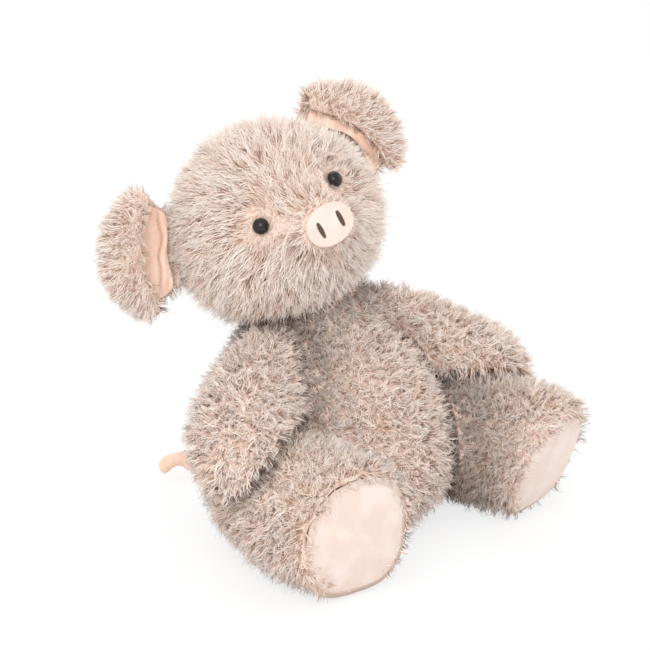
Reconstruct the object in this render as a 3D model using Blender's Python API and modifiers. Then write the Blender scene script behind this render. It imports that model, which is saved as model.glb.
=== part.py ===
"""A seated plush pig, in metres, +Z up, facing -Y, with its right side at -X.

The origin is on the floor under the seat. Each cover is a plush skin, backing and pile together, round
its own stuffing. Every limb turns on a ball at its seam, and the ball sits in a socket of the torso.
"""

import math

import bmesh
import bpy
from mathutils import Euler, Matrix, Vector

MM = 0.001
SIDES = {"right": -1, "left": 1}

# Fits
GAP = 0.3 * MM
SOCKET_CLEARANCE = 0.35 * MM
SWEEP_CLEARANCE = 1.7 * MM
LIMB_CLEARANCE = 6.5 * MM
OVERRUN = 4 * MM
FLAT_DEPTH = 0.5 * MM

# Plush skin: the backing and the pile up to its mean height
PLUSH_WALL = 8 * MM

# Torso
TORSO_HEIGHT = 127 * MM
TORSO_WIDTH = 136 * MM
TORSO_DEPTH = 158 * MM
TORSO_LEAN = 17 * MM
# height share, width share, depth share, lean share
TORSO_SHARES = (
    (0.00, 0.00, 0.00, 0.00),
    (0.01, 0.52, 0.52, 0.00),
    (0.05, 0.86, 0.85, 0.00),
    (0.22, 1.04, 1.04, 0.00),
    (0.42, 1.04, 1.04, 0.05),
    (0.60, 0.99, 0.95, 0.25),
    (0.76, 0.90, 0.82, 0.50),
    (0.90, 0.74, 0.66, 0.75),
    (0.99, 0.42, 0.38, 1.00),
    (1.00, 0.00, 0.00, 1.00),
)
POUCH_HEIGHT = 30 * MM

# Head: its centre and how it is turned, tipped back and tilted to the right
HEAD_LIFT = 50 * MM
HEAD_CENTRE = Vector((-7 * MM, 38 * MM, TORSO_HEIGHT + HEAD_LIFT))
HEAD_TURN = math.radians(-20.4)
HEAD_TIP = math.radians(-16.3)
HEAD_TILT = math.radians(-23.6)
HEAD_WIDTH = 130 * MM
HEAD_HEIGHT = 118 * MM
HEAD_LENGTH = 132 * MM
HEAD_BACK = 58 * MM
# length share, width share, height share, drop share
HEAD_SHARES = (
    (0.00, 0.00, 0.00, 0.00),
    (0.02, 0.46, 0.46, 0.00),
    (0.16, 0.90, 0.90, 0.00),
    (0.36, 1.06, 1.06, 0.00),
    (0.56, 0.98, 0.98, 0.00),
    (0.73, 0.74, 0.74, 0.02),
    (0.83, 0.46, 0.46, 0.03),
    (0.93, 0.36, 0.34, 0.04),
    (0.995, 0.31, 0.28, 0.04),
    (1.00, 0.00, 0.00, 0.04),
)

# Neck: the pivot lies below the head's centre along the head's own upright
NECK_DROP = 66 * MM
NECK_DOME = 31 * MM
NECK_BALL = 11 * MM
NECK_STEM = 7 * MM
NECK_REACH = 12 * MM
TILT_LOW = math.radians(-5)
TILT_HIGH = math.radians(15)
TURN_LIMIT = math.radians(20)
# tilt, turn of the places that the head is cleared for
HEAD_CORNERS = (
    (0, 0),
    (TILT_LOW, -TURN_LIMIT),
    (TILT_LOW, TURN_LIMIT),
    (TILT_HIGH, -TURN_LIMIT),
    (TILT_HIGH, TURN_LIMIT),
)

# Arms
SHOULDER_DROPS = {"right": 24 * MM, "left": 17 * MM}
ARM_PIVOTS = {
    "right": Vector((-48 * MM, 8 * MM, TORSO_HEIGHT - SHOULDER_DROPS["right"])),
    "left": Vector((48 * MM, 8 * MM, TORSO_HEIGHT - SHOULDER_DROPS["left"])),
}
ARM_PAWS = {
    "right": Vector((-113 * MM, -37 * MM, 74 * MM)),
    "left": Vector((106 * MM, -38 * MM, 68 * MM)),
}
ARM_BALL = 24 * MM
ARM_THICKNESS = 63 * MM
PAW_REACH = 24 * MM
ARM_SWING = math.radians(70)
SWING_SHARES = (0, 0.45, 1)
# length share, width share, depth share, shift share
ARM_SHARES = (
    (0.00, 0.00, 0.00, 0.00),
    (0.03, 0.40, 0.40, 0.00),
    (0.15, 0.84, 0.84, 0.00),
    (0.35, 0.98, 0.98, 0.00),
    (0.60, 1.04, 1.04, 0.00),
    (0.82, 1.03, 1.03, 0.00),
    (0.96, 0.60, 0.60, 0.00),
    (1.00, 0.00, 0.00, 0.00),
)

# Legs
HIP_OUT = 66 * MM
HIP_FRONT = 6 * MM
HIP_HEIGHT = 40 * MM
SOLE_OUT = 83 * MM
SOLE_FRONT = 104 * MM
SOLE_HEIGHT = 38 * MM
HIP_BALL = 36 * MM
LEG_WIDTH = 89 * MM
LEG_HEIGHT = 84 * MM
LEG_SWING = math.radians(60)
FOOT_DROOPS = {"right": math.radians(4), "left": math.radians(18)}
# length share, width share, height share, shift share
LEG_SHARES = (
    (0.00, 0.00, 0.00, 0.00),
    (0.03, 0.44, 0.44, 0.00),
    (0.16, 0.86, 0.86, 0.00),
    (0.38, 0.98, 0.98, 0.02),
    (0.66, 1.01, 1.03, 0.06),
    (0.86, 1.03, 1.07, 0.10),
    (0.97, 0.84, 0.88, 0.10),
    (1.00, 0.00, 0.00, 0.10),
)
SOLE_WIDTH = 62 * MM
SOLE_TALL = 65 * MM
SOLE_THICKNESS = 2.2 * MM
SOLE_RECESS = 3 * MM
FOOT_OVERHANG = 16 * MM

# Ears: a flap from a seam on the head's side, folded forward over its lining.
# Each seam's middle lies out, back and up of the head's centre
EAR_SEAMS = {
    "right": Vector((60 * MM, 14 * MM, 17 * MM)),
    "left": Vector((59 * MM, 23 * MM, 13 * MM)),
}
EAR_LEAN = math.radians(25)
EAR_LENGTH = 75 * MM
EAR_FLAPS = {"right": 46 * MM, "left": 42 * MM}
EAR_FOLD = 17 * MM
EAR_THICKNESS = 7 * MM
EAR_ROLL = 4.5 * MM
EAR_ROLL_LENGTH = 44 * MM
EAR_SWING = math.radians(20)
# out share, front share of each flap's section, from the seam round the fold to the tip
EAR_SECTION_SHARES = {
    "right": (
        (0.00, 0.00),
        (0.40, -0.20),
        (0.88, -0.12),
        (1.04, 0.45),
        (0.88, 1.02),
        (0.60, 0.98),
    ),
    "left": (
        (0.00, 0.00),
        (0.40, -0.20),
        (0.88, -0.12),
        (1.04, 0.45),
        (0.80, 1.04),
        (0.40, 0.98),
    ),
}
EAR_ROWS = 4
EAR_FULLNESS = 0.9
EAR_NARROWING = 0.35
LINING_THICKNESS = 1.2 * MM
LINING_LIFT = 1 * MM
LINING_INSET = 6 * MM

# Face
SNOUT_WIDTH = 31 * MM
SNOUT_TALL = 24 * MM
SNOUT_THICKNESS = 2 * MM
SNOUT_DROP = 2 * MM
NOSTRIL_APART = 14 * MM
NOSTRIL_TALL = 10 * MM
NOSTRIL_WIDTH = 3.4 * MM
NOSTRIL_THICKNESS = 1.2 * MM
EYE_OUT = 26.5 * MM
EYE_UP = 13 * MM
EYE_FRONT = 43 * MM
EYE_RADIUS = 5 * MM
EYE_DOME = 4 * MM
EYE_SPLAY = math.radians(30)
EYE_RAISE = math.radians(12)
SHANK_RADIUS = 1.6 * MM
SHANK_LENGTH = 12 * MM
WASHER_RADIUS = 6.5 * MM
WASHER_THICKNESS = 1.6 * MM

# Tail
TAIL_THICKNESS = 9.2 * MM
TAIL_INSET = 3.5 * MM
TAIL_HEIGHT_SHARE = 0.11
TAIL_ROOT = Vector((-4 * MM, TORSO_DEPTH / 2 - TAIL_INSET, TORSO_HEIGHT * TAIL_HEIGHT_SHARE))
TAIL_BALL = 5 * MM
TAIL_SWING = math.radians(20)
# the tail's route from its root: right, back and up of it
TAIL_ROUTE = (
    Vector((0, 0, 0)),
    Vector((-2 * MM, 12 * MM, -4 * MM)),
    Vector((-10 * MM, 22 * MM, -9 * MM)),
    Vector((-17 * MM, 28 * MM, -8 * MM)),
    Vector((-22 * MM, 32 * MM, -4 * MM)),
    Vector((-28 * MM, 36 * MM, -4 * MM)),
    Vector((-33 * MM, 41 * MM, -10 * MM)),
)

SEGMENTS_LARGE = 10
SEGMENTS_CORE = 8
SEGMENTS_LIMB = 8
BALL_SEGMENTS = 20
BALL_RINGS = 8
ROD_SEGMENTS = 16
PLATE_SEGMENTS = 24
STITCH_SEGMENTS = 12


def paint(name, colour, roughness, metallic=0.0):
    """A material with one colour."""
    material = bpy.data.materials.new(name)
    material.use_nodes = True
    shader = material.node_tree.nodes["Principled BSDF"]
    shader.inputs["Base Color"].default_value = (*colour, 1)
    shader.inputs["Roughness"].default_value = roughness
    shader.inputs["Metallic"].default_value = metallic
    material.diffuse_color = (*colour, 1)
    return material


def clear_scene():
    """Removes the objects that the scene starts with."""
    for thing in list(bpy.data.objects):
        bpy.data.objects.remove(thing, do_unlink=True)


def new_collection(name):
    """A collection under the scene's own."""
    collection = bpy.data.collections.new(name)
    bpy.context.scene.collection.children.link(collection)
    return collection


clear_scene()
PIG = new_collection("plush_pig")
CUTTERS = new_collection("cutters")
PLUSH = paint("plush", (0.60, 0.48, 0.42), 0.95)
SUEDE = paint("suede", (0.88, 0.71, 0.61), 0.85)
SATIN = paint("satin", (0.82, 0.58, 0.46), 0.6)
THREAD = paint("thread", (0.10, 0.05, 0.035), 0.8)
FIBRE = paint("fibre", (0.85, 0.84, 0.80), 0.95)
CALICO = paint("calico", (0.72, 0.66, 0.55), 0.9)
BLACK = paint("eye_plastic", (0.012, 0.012, 0.012), 0.12)
WHITE = paint("washer_plastic", (0.75, 0.75, 0.73), 0.5)


def add(name, bm, place, material=None):
    """Makes an object from a mesh in the making. Without a material it is a cutter."""
    mesh = bpy.data.meshes.new(name)
    bmesh.ops.recalc_face_normals(bm, faces=bm.faces)
    bm.to_mesh(mesh)
    bm.free()
    mesh.shade_smooth()
    return place_mesh(name, mesh, place, material)


def place_mesh(name, mesh, place, material=None):
    """Puts a mesh in the pig's collection, or in the cutters' if it has no material."""
    thing = bpy.data.objects.new(name, mesh)
    thing.matrix_world = place
    if material:
        mesh.materials.clear()
        mesh.materials.append(material)
        PIG.objects.link(thing)
    else:
        CUTTERS.objects.link(thing)
        thing.hide_render = True
        thing.display_type = "WIRE"
    return thing


def subdivide(thing, levels=1):
    """Rounds a cage."""
    rounding = thing.modifiers.new("rounding", "SUBSURF")
    rounding.levels = levels
    rounding.render_levels = levels
    return thing


def combine(thing, other, operation="DIFFERENCE"):
    """Cuts, joins or keeps the common space."""
    step = thing.modifiers.new(f"{operation.lower()}_{other.name}", "BOOLEAN")
    step.operation = operation
    step.solver = "EXACT"
    step.object = other
    return thing


def grown(rows, grow):
    """The rows of a swelling form moved outwards by grow, square to its side."""
    moved = []
    for index, (along, wide, tall, shift) in enumerate(rows):
        before = rows[max(index - 1, 0)]
        after = rows[min(index + 1, len(rows) - 1)]
        if index == 0:
            moved.append((along - grow, 0.0, 0.0, shift))
        elif index == len(rows) - 1:
            moved.append((along + grow, 0.0, 0.0, shift))
        else:
            run = after[0] - before[0]
            rise = (after[1] + after[2] - before[1] - before[2]) / 2
            length = math.hypot(run, rise)
            side = grow * run / length
            moved.append((along - grow * rise / length, wide + side, tall + side, shift))
    return moved


def swelling(name, rows, segments, place, grow=0.0, material=None):
    """A closed soft form along its own Z: a sphere whose rings take the rows' places and radii.

    A row is (place along Z, half width along X, half height along Y, shift along Y). Rounding draws a
    ring of few corners inwards, so each cage ring is wider by what it loses.
    """
    rows = grown(rows, grow)
    ring_share = (3 + math.cos(2 * math.pi / segments)) / 4
    last = len(rows) - 1
    bm = bmesh.new()
    bmesh.ops.create_uvsphere(bm, u_segments=round(segments), v_segments=last, radius=1)
    for vertex in bm.verts:
        ring = last - round(math.acos(max(-1, min(1, vertex.co.z))) / math.pi * last)
        along, wide, tall, shift = rows[ring]
        angle = math.atan2(vertex.co.y, vertex.co.x)
        across = wide * math.cos(angle) / ring_share
        upright = tall * math.sin(angle) / ring_share
        vertex.co = (across, upright + shift, along)
    return subdivide(add(name, bm, place, material))


def ball(name, centre, radius, material=None):
    """A ball whose corners lie on the radius, with its poles on the limbs' own turning axis."""
    bm = bmesh.new()
    bmesh.ops.create_uvsphere(bm, u_segments=BALL_SEGMENTS, v_segments=BALL_RINGS, radius=radius)
    poles = Matrix.Rotation(math.pi / 2, 4, "Y")
    return add(name, bm, Matrix.Translation(centre) @ poles, material)


def socket(name, centre, radius, any_way=False):
    """A ball cutter that a ball of the radius turns in: about its poles, or any way round."""
    share = math.cos(math.pi / BALL_SEGMENTS)
    if any_way:
        share *= math.cos(math.pi / BALL_RINGS / 2)
    return ball(name, centre, radius / share)


def rod(name, start, end, radius, end_radius=None, material=None, segments=ROD_SEGMENTS):
    """A round rod or cone from start to end."""
    bm = bmesh.new()
    along = end - start
    bmesh.ops.create_cone(
        bm,
        cap_ends=True,
        segments=segments,
        radius1=radius,
        radius2=radius if end_radius is None else end_radius,
        depth=along.length,
    )
    turn = along.to_track_quat("Z", "Y").to_matrix().to_4x4()
    return add(name, bm, Matrix.Translation((start + end) / 2) @ turn, material)


def slab(name, low, high):
    """A box cutter between two corners."""
    bm = bmesh.new()
    bmesh.ops.create_cube(bm, size=1)
    size = high - low
    bmesh.ops.scale(bm, vec=size, verts=bm.verts)
    return add(name, bm, Matrix.Translation((low + high) / 2))


def oval_plate(name, size, place, material=None, rounding=0.0, segments=PLATE_SEGMENTS):
    """An oval plate in its own XY plane, standing on Z = 0, with a rounded upper edge."""
    wide, tall, thickness = size
    bm = bmesh.new()
    bmesh.ops.create_cone(
        bm, cap_ends=True, segments=segments, radius1=0.5, radius2=0.5, depth=thickness
    )
    bmesh.ops.scale(bm, vec=(wide, tall, 1), verts=bm.verts)
    bmesh.ops.translate(bm, vec=(0, 0, thickness / 2), verts=bm.verts)
    if rounding:
        upper = [e for e in bm.edges if all(v.co.z > thickness / 2 for v in e.verts)]
        bmesh.ops.bevel(bm, geom=upper, offset=rounding, segments=2, affect="EDGES", profile=0.5)
    return add(name, bm, place, material)


def scaled(shares, along, wide, tall, shift, start=0.0):
    """Rows in metres from a table of shares."""
    return [
        (start + a * along, w * wide / 2, t * tall / 2, s * shift) for a, w, t, s in shares
    ]


def turned_about(pivot, axis, angle):
    """The placement that turns the world about an axis through a pivot."""
    return Matrix.Translation(pivot) @ Matrix.Rotation(angle, 4, axis) @ Matrix.Translation(-pivot)


def along_place(start, end, up=Vector((0, 0, 1))):
    """A frame at start whose Z runs to end, with its Y as near up as it can be."""
    forward = (end - start).normalized()
    across = up.cross(forward).normalized()
    upright = forward.cross(across)
    return Matrix.Translation(start) @ Matrix((across, upright, forward)).transposed().to_4x4()


# The head's own frame: X to its left, Z up, facing -Y
HEAD_FRAME = (
    Matrix.Translation(HEAD_CENTRE)
    @ Euler((0, 0, HEAD_TURN)).to_matrix().to_4x4()
    @ Euler((HEAD_TIP, 0, 0)).to_matrix().to_4x4()
    @ Euler((0, HEAD_TILT, 0)).to_matrix().to_4x4()
)
HEAD_UP = (HEAD_FRAME.to_3x3() @ Vector((0, 0, 1))).normalized()
NECK = HEAD_CENTRE - HEAD_UP * NECK_DROP
TRANSVERSE = Vector((1, 0, 0))
TILT_AXIS = Vector((0, 1, 0))

TORSO_ROWS = scaled(TORSO_SHARES, TORSO_HEIGHT, TORSO_WIDTH, TORSO_DEPTH, TORSO_LEAN, -FLAT_DEPTH)
UNDER_FLOOR = slab(
    "under_floor",
    Vector((-TORSO_DEPTH, -TORSO_DEPTH, -TORSO_HEIGHT)),
    Vector((TORSO_DEPTH, TORSO_DEPTH, 0)),
)


def head_point(out, front, up):
    """A world place from the head's own measures."""
    return HEAD_FRAME @ Vector((out, -front, up))


def head_form(name, grow=0.0, material=None, place=None):
    """The head with its muzzle, along the face's direction."""
    rows = scaled(HEAD_SHARES, HEAD_LENGTH, HEAD_WIDTH, HEAD_HEIGHT, -HEAD_HEIGHT / 2, -HEAD_BACK)
    facing = Matrix.Rotation(math.pi / 2, 4, "X")
    segments = SEGMENTS_CORE if grow < 0 else SEGMENTS_LARGE
    place = (place or Matrix()) @ HEAD_FRAME @ facing
    return swelling(name, rows, segments, place, grow, material)


def torso_form(name, grow=0.0, material=None, place=None):
    """The torso's pear shape."""
    segments = SEGMENTS_CORE if grow < 0 else SEGMENTS_LARGE
    return swelling(name, TORSO_ROWS, segments, place or Matrix(), grow, material)


def arm_ends(side):
    """The arm's pivot and paw centre."""
    return ARM_PIVOTS[side], ARM_PAWS[side]


def leg_ends(side):
    """The leg's pivot and the middle of its sole."""
    sign = SIDES[side]
    hip = Vector((sign * HIP_OUT, -HIP_FRONT, HIP_HEIGHT))
    return hip, Vector((sign * SOLE_OUT, -SOLE_FRONT, SOLE_HEIGHT))


def arm_form(name, side, grow=0.0, material=None):
    """One arm, from behind its pivot to the tip of its paw."""
    start, end = arm_ends(side)
    length = (end - start).length + ARM_BALL + PAW_REACH
    rows = scaled(ARM_SHARES, length, ARM_THICKNESS, ARM_THICKNESS, 0, -ARM_BALL)
    return swelling(name, rows, SEGMENTS_LIMB, along_place(start, end), grow, material)


def leg_form(name, side, grow=0.0, material=None):
    """One leg, from behind its pivot to its sole."""
    start, end = leg_ends(side)
    length = (end - start).length + HIP_BALL + FOOT_OVERHANG
    rows = scaled(LEG_SHARES, length, LEG_WIDTH, LEG_HEIGHT, LEG_HEIGHT / 2, -HIP_BALL)
    return swelling(name, rows, SEGMENTS_LIMB, along_place(start, end), grow, material)


def sole_place(side):
    """The frame of a sole: its Z points out of the foot, drooping."""
    start, end = leg_ends(side)
    frame = along_place(start, end)
    return Matrix.Translation(end) @ frame.to_3x3().to_4x4() @ Matrix.Rotation(
        FOOT_DROOPS[side], 4, "X"
    )


def envelopes(limb, pivot, swing, grow, label):
    """The torso as a limb meets it while it swings: turned back about the limb's pivot."""
    shapes = []
    for share in SWING_SHARES:
        place = turned_about(pivot, TRANSVERSE, -swing * share)
        name = f"{limb}_{label}_{round(math.degrees(abs(swing)) * share)}"
        shapes.append(torso_form(name, grow, None, place))
    return shapes


def build_torso():
    """The torso's skin, its stuffing and the pouch of beans that weighs the seat."""
    skin = torso_form("torso_skin", 0.0, PLUSH)
    combine(skin, ball("neck_dome", NECK, NECK_DOME), "UNION")
    hollow = torso_form("torso_hollow", -PLUSH_WALL + GAP)
    combine(hollow, ball("neck_hollow", NECK, NECK_DOME - PLUSH_WALL + GAP), "UNION")
    combine(skin, hollow)
    stuffing = torso_form("torso_stuffing", -PLUSH_WALL, FIBRE)
    combine(stuffing, ball("neck_fill", NECK, NECK_DOME - PLUSH_WALL), "UNION")
    sockets = []
    for side in SIDES:
        sockets.append(socket(f"{side}_arm_socket", arm_ends(side)[0], ARM_BALL + SOCKET_CLEARANCE))
        sockets.append(socket(f"{side}_hip_socket", leg_ends(side)[0], HIP_BALL + SOCKET_CLEARANCE))
    middle = (TILT_LOW + TILT_HIGH) / 2
    upright = Matrix.Rotation(middle, 3, TILT_AXIS) @ HEAD_UP
    spread = math.tan((TILT_HIGH - TILT_LOW) / 2)
    reach = NECK_DOME + OVERRUN
    mouth = NECK_STEM + SOCKET_CLEARANCE
    sockets.append(
        rod("neck_mouth", NECK, NECK + upright * reach, mouth, mouth + reach * spread)
    )
    sockets.append(socket("neck_socket", NECK, NECK_BALL + SOCKET_CLEARANCE, True))
    for space in sockets:
        combine(stuffing, space)
    for space in sockets[:-1]:
        combine(skin, space)
    combine(skin, socket("tail_socket", TAIL_ROOT, TAIL_BALL + SOCKET_CLEARANCE, True))
    combine(skin, UNDER_FLOOR)
    wide = Vector((TORSO_DEPTH, TORSO_DEPTH, 0))
    below = slab("pouch_space", -wide, wide + Vector((0, 0, POUCH_HEIGHT + GAP)))
    upper = Vector((0, 0, POUCH_HEIGHT))
    above = slab("stuffing_space", upper - wide, wide + Vector((0, 0, TORSO_HEIGHT)))
    combine(stuffing, below)
    pouch = torso_form("bean_pouch", -PLUSH_WALL, CALICO)
    combine(pouch, above)
    for space in sockets:
        if "hip" in space.name:
            combine(pouch, space)


def build_neck():
    """The wad of stuffing in the neck: a ball in the torso and a stem up into the head."""
    neck = ball("neck_stuffing", NECK, NECK_BALL, FIBRE)
    stem = rod("neck_stem", NECK, NECK + HEAD_UP * (NECK_DOME + NECK_REACH), NECK_STEM)
    combine(neck, stem, "UNION")


def build_head():
    """The head's skin and stuffing, open at the neck and pierced for the eyes."""
    skin = head_form("head_skin", 0.0, PLUSH)
    hollow = head_form("head_hollow", -PLUSH_WALL + GAP)
    stuffing = head_form("head_stuffing", -PLUSH_WALL, FIBRE)
    combine(skin, hollow)
    shared = [
        socket("head_on_dome", NECK, NECK_DOME + SOCKET_CLEARANCE, True),
        rod(
            "neck_passage",
            NECK,
            NECK + HEAD_UP * (NECK_DOME + NECK_REACH + GAP),
            NECK_STEM + SOCKET_CLEARANCE,
        ),
    ]
    for tilt, turn in HEAD_CORNERS:
        place = turned_about(NECK, HEAD_UP, -turn) @ turned_about(NECK, TILT_AXIS, -tilt)
        name = f"head_over_torso_{round(math.degrees(tilt))}_{round(math.degrees(turn))}"
        shared.append(torso_form(name, SWEEP_CLEARANCE, None, place))
    for cutter in shared:
        combine(skin, cutter)
        combine(stuffing, cutter)
    face = HEAD_LENGTH - HEAD_BACK - SNOUT_THICKNESS
    size = Vector((HEAD_WIDTH, HEAD_LENGTH, HEAD_HEIGHT))
    flat = slab("snout_flat", -size, Vector((size.x, -face, size.z)))
    flat.matrix_world = HEAD_FRAME @ flat.matrix_world
    combine(skin, flat)
    return skin, stuffing, face


def build_eyes(skin, stuffing):
    """Safety eyes: a dome with a shank through the skin and a washer behind it."""
    for side, sign in SIDES.items():
        base = head_point(sign * EYE_OUT, EYE_FRONT, EYE_UP)
        look = Euler((-EYE_RAISE, 0, sign * EYE_SPLAY)).to_matrix() @ Vector((0, -1, 0))
        look = (HEAD_FRAME.to_3x3() @ look).normalized()
        turn = look.to_track_quat("Z", "Y").to_matrix().to_4x4()
        bm = bmesh.new()
        bmesh.ops.create_uvsphere(bm, u_segments=ROD_SEGMENTS, v_segments=BALL_RINGS, radius=1)
        for vertex in bm.verts:
            height = EYE_DOME if vertex.co.z > 0 else EYE_DOME / 4
            x, y, z = vertex.co
            vertex.co = (x * EYE_RADIUS, y * EYE_RADIUS, z * height)
        eye = add(f"{side}_eye", bm, Matrix.Translation(base) @ turn, BLACK)
        shank = rod(f"{side}_shank", base, base - look * SHANK_LENGTH, SHANK_RADIUS, segments=12)
        combine(eye, shank, "UNION")
        well = rod(
            f"{side}_eye_well",
            base - look * (EYE_DOME / 4 + GAP),
            base + look * (EYE_RADIUS + OVERRUN),
            EYE_RADIUS + GAP,
            EYE_RADIUS + OVERRUN,
        )
        hole = rod(
            f"{side}_shank_hole",
            base - look * (SHANK_LENGTH + GAP),
            base,
            SHANK_RADIUS + GAP,
        )
        washer_top = base - look * PLUSH_WALL
        washer = rod(
            f"{side}_eye_washer",
            washer_top - look * WASHER_THICKNESS,
            washer_top,
            WASHER_RADIUS,
            material=WHITE,
        )
        pocket = rod(
            f"{side}_washer_pocket",
            washer_top - look * (WASHER_THICKNESS + GAP),
            washer_top + look * GAP,
            WASHER_RADIUS + GAP,
        )
        combine(washer, hole)
        for cutter in (well, hole, pocket):
            combine(skin, cutter)
            combine(stuffing, cutter)


def build_snout(face):
    """The suede pad on the muzzle's end, with its stitched nostrils let into it."""
    front = Matrix.Rotation(math.pi / 2, 4, "X")
    place = HEAD_FRAME @ Matrix.Translation((0, -face - GAP, -SNOUT_DROP)) @ front
    size = (SNOUT_WIDTH, SNOUT_TALL, SNOUT_THICKNESS)
    pad = oval_plate("snout_pad", size, place, SUEDE, SNOUT_THICKNESS / 3)
    for side, sign in SIDES.items():
        spot = place @ Matrix.Translation(
            (sign * NOSTRIL_APART / 2, 0, SNOUT_THICKNESS - NOSTRIL_THICKNESS / 2)
        )
        size = (NOSTRIL_WIDTH, NOSTRIL_TALL, NOSTRIL_THICKNESS)
        edge = NOSTRIL_THICKNESS / 3
        oval_plate(f"{side}_nostril", size, spot, THREAD, edge, STITCH_SEGMENTS)
        size = (NOSTRIL_WIDTH + 2 * GAP, NOSTRIL_TALL + 2 * GAP, NOSTRIL_THICKNESS + GAP)
        below = spot @ Matrix.Translation((0, 0, -GAP))
        bed = oval_plate(f"{side}_nostril_bed", size, below, segments=STITCH_SEGMENTS)
        combine(pad, bed)


def ear_frame(side):
    """The ear's frame: X out along the flap, Y along the seam, Z to the lining's front."""
    sign = SIDES[side]
    outward = Vector((sign * math.cos(EAR_LEAN), 0, math.sin(EAR_LEAN)))
    front = Vector((0, -1, 0))
    seam = front.cross(outward)
    basis = Matrix((outward, seam, front)).transposed().to_4x4()
    out, back, up = EAR_SEAMS[side]
    spot = Matrix.Translation((sign * out, back, up))
    return HEAD_FRAME @ spot @ basis


def ear_sheet(name, side, lift, thickness, inset, material):
    """A folded sheet of the ear, as long as a half oval on its seam.

    Its faces look to the inside of the fold, so a negative thickness lies behind the sheet.
    """
    section = EAR_SECTION_SHARES[side]
    columns = len(section)
    bm = bmesh.new()
    bmesh.ops.create_grid(bm, x_segments=columns - 1, y_segments=EAR_ROWS, size=1)
    for vertex in bm.verts:
        column = round((vertex.co.x + 1) / 2 * (columns - 1))
        across = vertex.co.y
        out, front = section[column]
        reach = math.sqrt(1 - (EAR_FULLNESS * across) ** 2)
        seam_share = 1 - EAR_NARROWING * (1 - out) ** 2
        vertex.co = (
            (EAR_FLAPS[side] * out if column else inset) * reach,
            across * (EAR_LENGTH / 2 - inset) * seam_share,
            front * EAR_FOLD * reach,
        )
    mesh = bpy.data.meshes.new(name)
    bm.to_mesh(mesh)
    bm.free()
    mesh.shade_smooth()
    sheet = place_mesh(name, mesh, ear_frame(side), material)
    if lift:
        lifting = sheet.modifiers.new("lift", "DISPLACE")
        lifting.mid_level = 0
        lifting.strength = lift
    wall = sheet.modifiers.new("thickness", "SOLIDIFY")
    wall.thickness = abs(thickness)
    wall.offset = math.copysign(1, thickness)
    wall.use_even_offset = True
    return subdivide(sheet)


def build_ears(skin, stuffing):
    """Each ear's plush back, rolled at its seam, and the satin lining inside its fold."""
    for side in SIDES:
        frame = ear_frame(side)
        back = ear_sheet(f"{side}_ear_back", side, 0.0, -EAR_THICKNESS, 0.0, PLUSH)
        seam = (frame.to_3x3() @ Vector((0, 1, 0))).normalized()
        for swing in (-EAR_SWING, 0, EAR_SWING):
            name = f"{side}_ear_on_head_{round(math.degrees(swing))}"
            place = turned_about(frame.translation, seam, -swing)
            combine(back, head_form(name, SWEEP_CLEARANCE, None, place))
        half = Vector((0, EAR_ROLL_LENGTH / 2, 0))
        roll = rod(f"{side}_ear_roll", frame @ -half, frame @ half, EAR_ROLL)
        combine(back, roll, "UNION")
        reach = Vector((0, EAR_ROLL_LENGTH / 2 + GAP, 0))
        wide = (EAR_ROLL + SOCKET_CLEARANCE) / math.cos(math.pi / ROD_SEGMENTS)
        groove = rod(f"{side}_ear_groove", frame @ -reach, frame @ reach, wide)
        combine(skin, groove)
        combine(stuffing, groove)
        ear_sheet(
            f"{side}_ear_lining", side, LINING_LIFT, LINING_THICKNESS, LINING_INSET, SATIN
        )


def settled(thing):
    """The mesh of an object with its modifiers applied."""
    graph = bpy.context.evaluated_depsgraph_get()
    return bpy.data.meshes.new_from_object(thing.evaluated_get(graph))


def build_limb(limb, side, form, ends, radius, swing, others=()):
    """A limb's skin and stuffing: a soft form cut by what it lies against, with a ball at its seam.

    The stuffing fills the skin and shows at the skin's mouth, where it meets the torso's.
    """
    name = f"{side}_{limb}"
    pivot, end = ends(side)
    forward = (end - pivot).normalized()
    outer = form(f"{name}_outer", side)
    for cutter in envelopes(name, pivot, swing, SWEEP_CLEARANCE, "outer") + list(others):
        combine(outer, cutter)
    combine(outer, ball(f"{name}_ball", pivot, radius), "UNION")
    cores = {}
    root = pivot - forward * (radius + OVERRUN)
    for part, grow in (("hollow", GAP), ("stuffing", 0.0)):
        material = FIBRE if part == "stuffing" else None
        core = form(f"{name}_{part}", side, grow - PLUSH_WALL, material)
        for cutter in envelopes(name, pivot, swing, PLUSH_WALL + GAP - grow, part):
            combine(core, cutter)
        plug = rod(f"{name}_{part}_plug", root, pivot + forward * radius, radius / 2 + grow)
        combine(core, plug, "UNION")
        cores[part] = core
    combine(cores["stuffing"], outer, "INTERSECT")
    skin = place_mesh(f"{name}_skin", settled(outer), outer.matrix_world, PLUSH)
    combine(skin, cores["hollow"])
    return skin, cores["stuffing"]


def build_arms():
    """The arms, each cut by the thigh that it lies on and by the head above it."""
    for side in SIDES:
        others = [
            leg_form(f"{side}_arm_over_leg", side, LIMB_CLEARANCE),
            ball(f"{side}_arm_over_hip", leg_ends(side)[0], HIP_BALL + LIMB_CLEARANCE),
        ]
        pivot = arm_ends(side)[0]
        for share in SWING_SHARES:
            centre = turned_about(pivot, TRANSVERSE, ARM_SWING * share) @ NECK
            name = f"{side}_arm_by_dome_{round(math.degrees(ARM_SWING) * share)}"
            others.append(ball(name, centre, NECK_DOME + SWEEP_CLEARANCE))
        near_tilt = TILT_LOW if side == "right" else TILT_HIGH
        for tilt, turn in HEAD_CORNERS:
            if tilt in (0, near_tilt):
                place = turned_about(NECK, TILT_AXIS, tilt) @ turned_about(NECK, HEAD_UP, turn)
                name = f"{side}_arm_under_head_{round(math.degrees(tilt))}_{round(math.degrees(turn))}"
                others.append(head_form(name, SWEEP_CLEARANCE, None, place))
        build_limb("arm", side, arm_form, arm_ends, ARM_BALL, -ARM_SWING, others)


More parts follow.
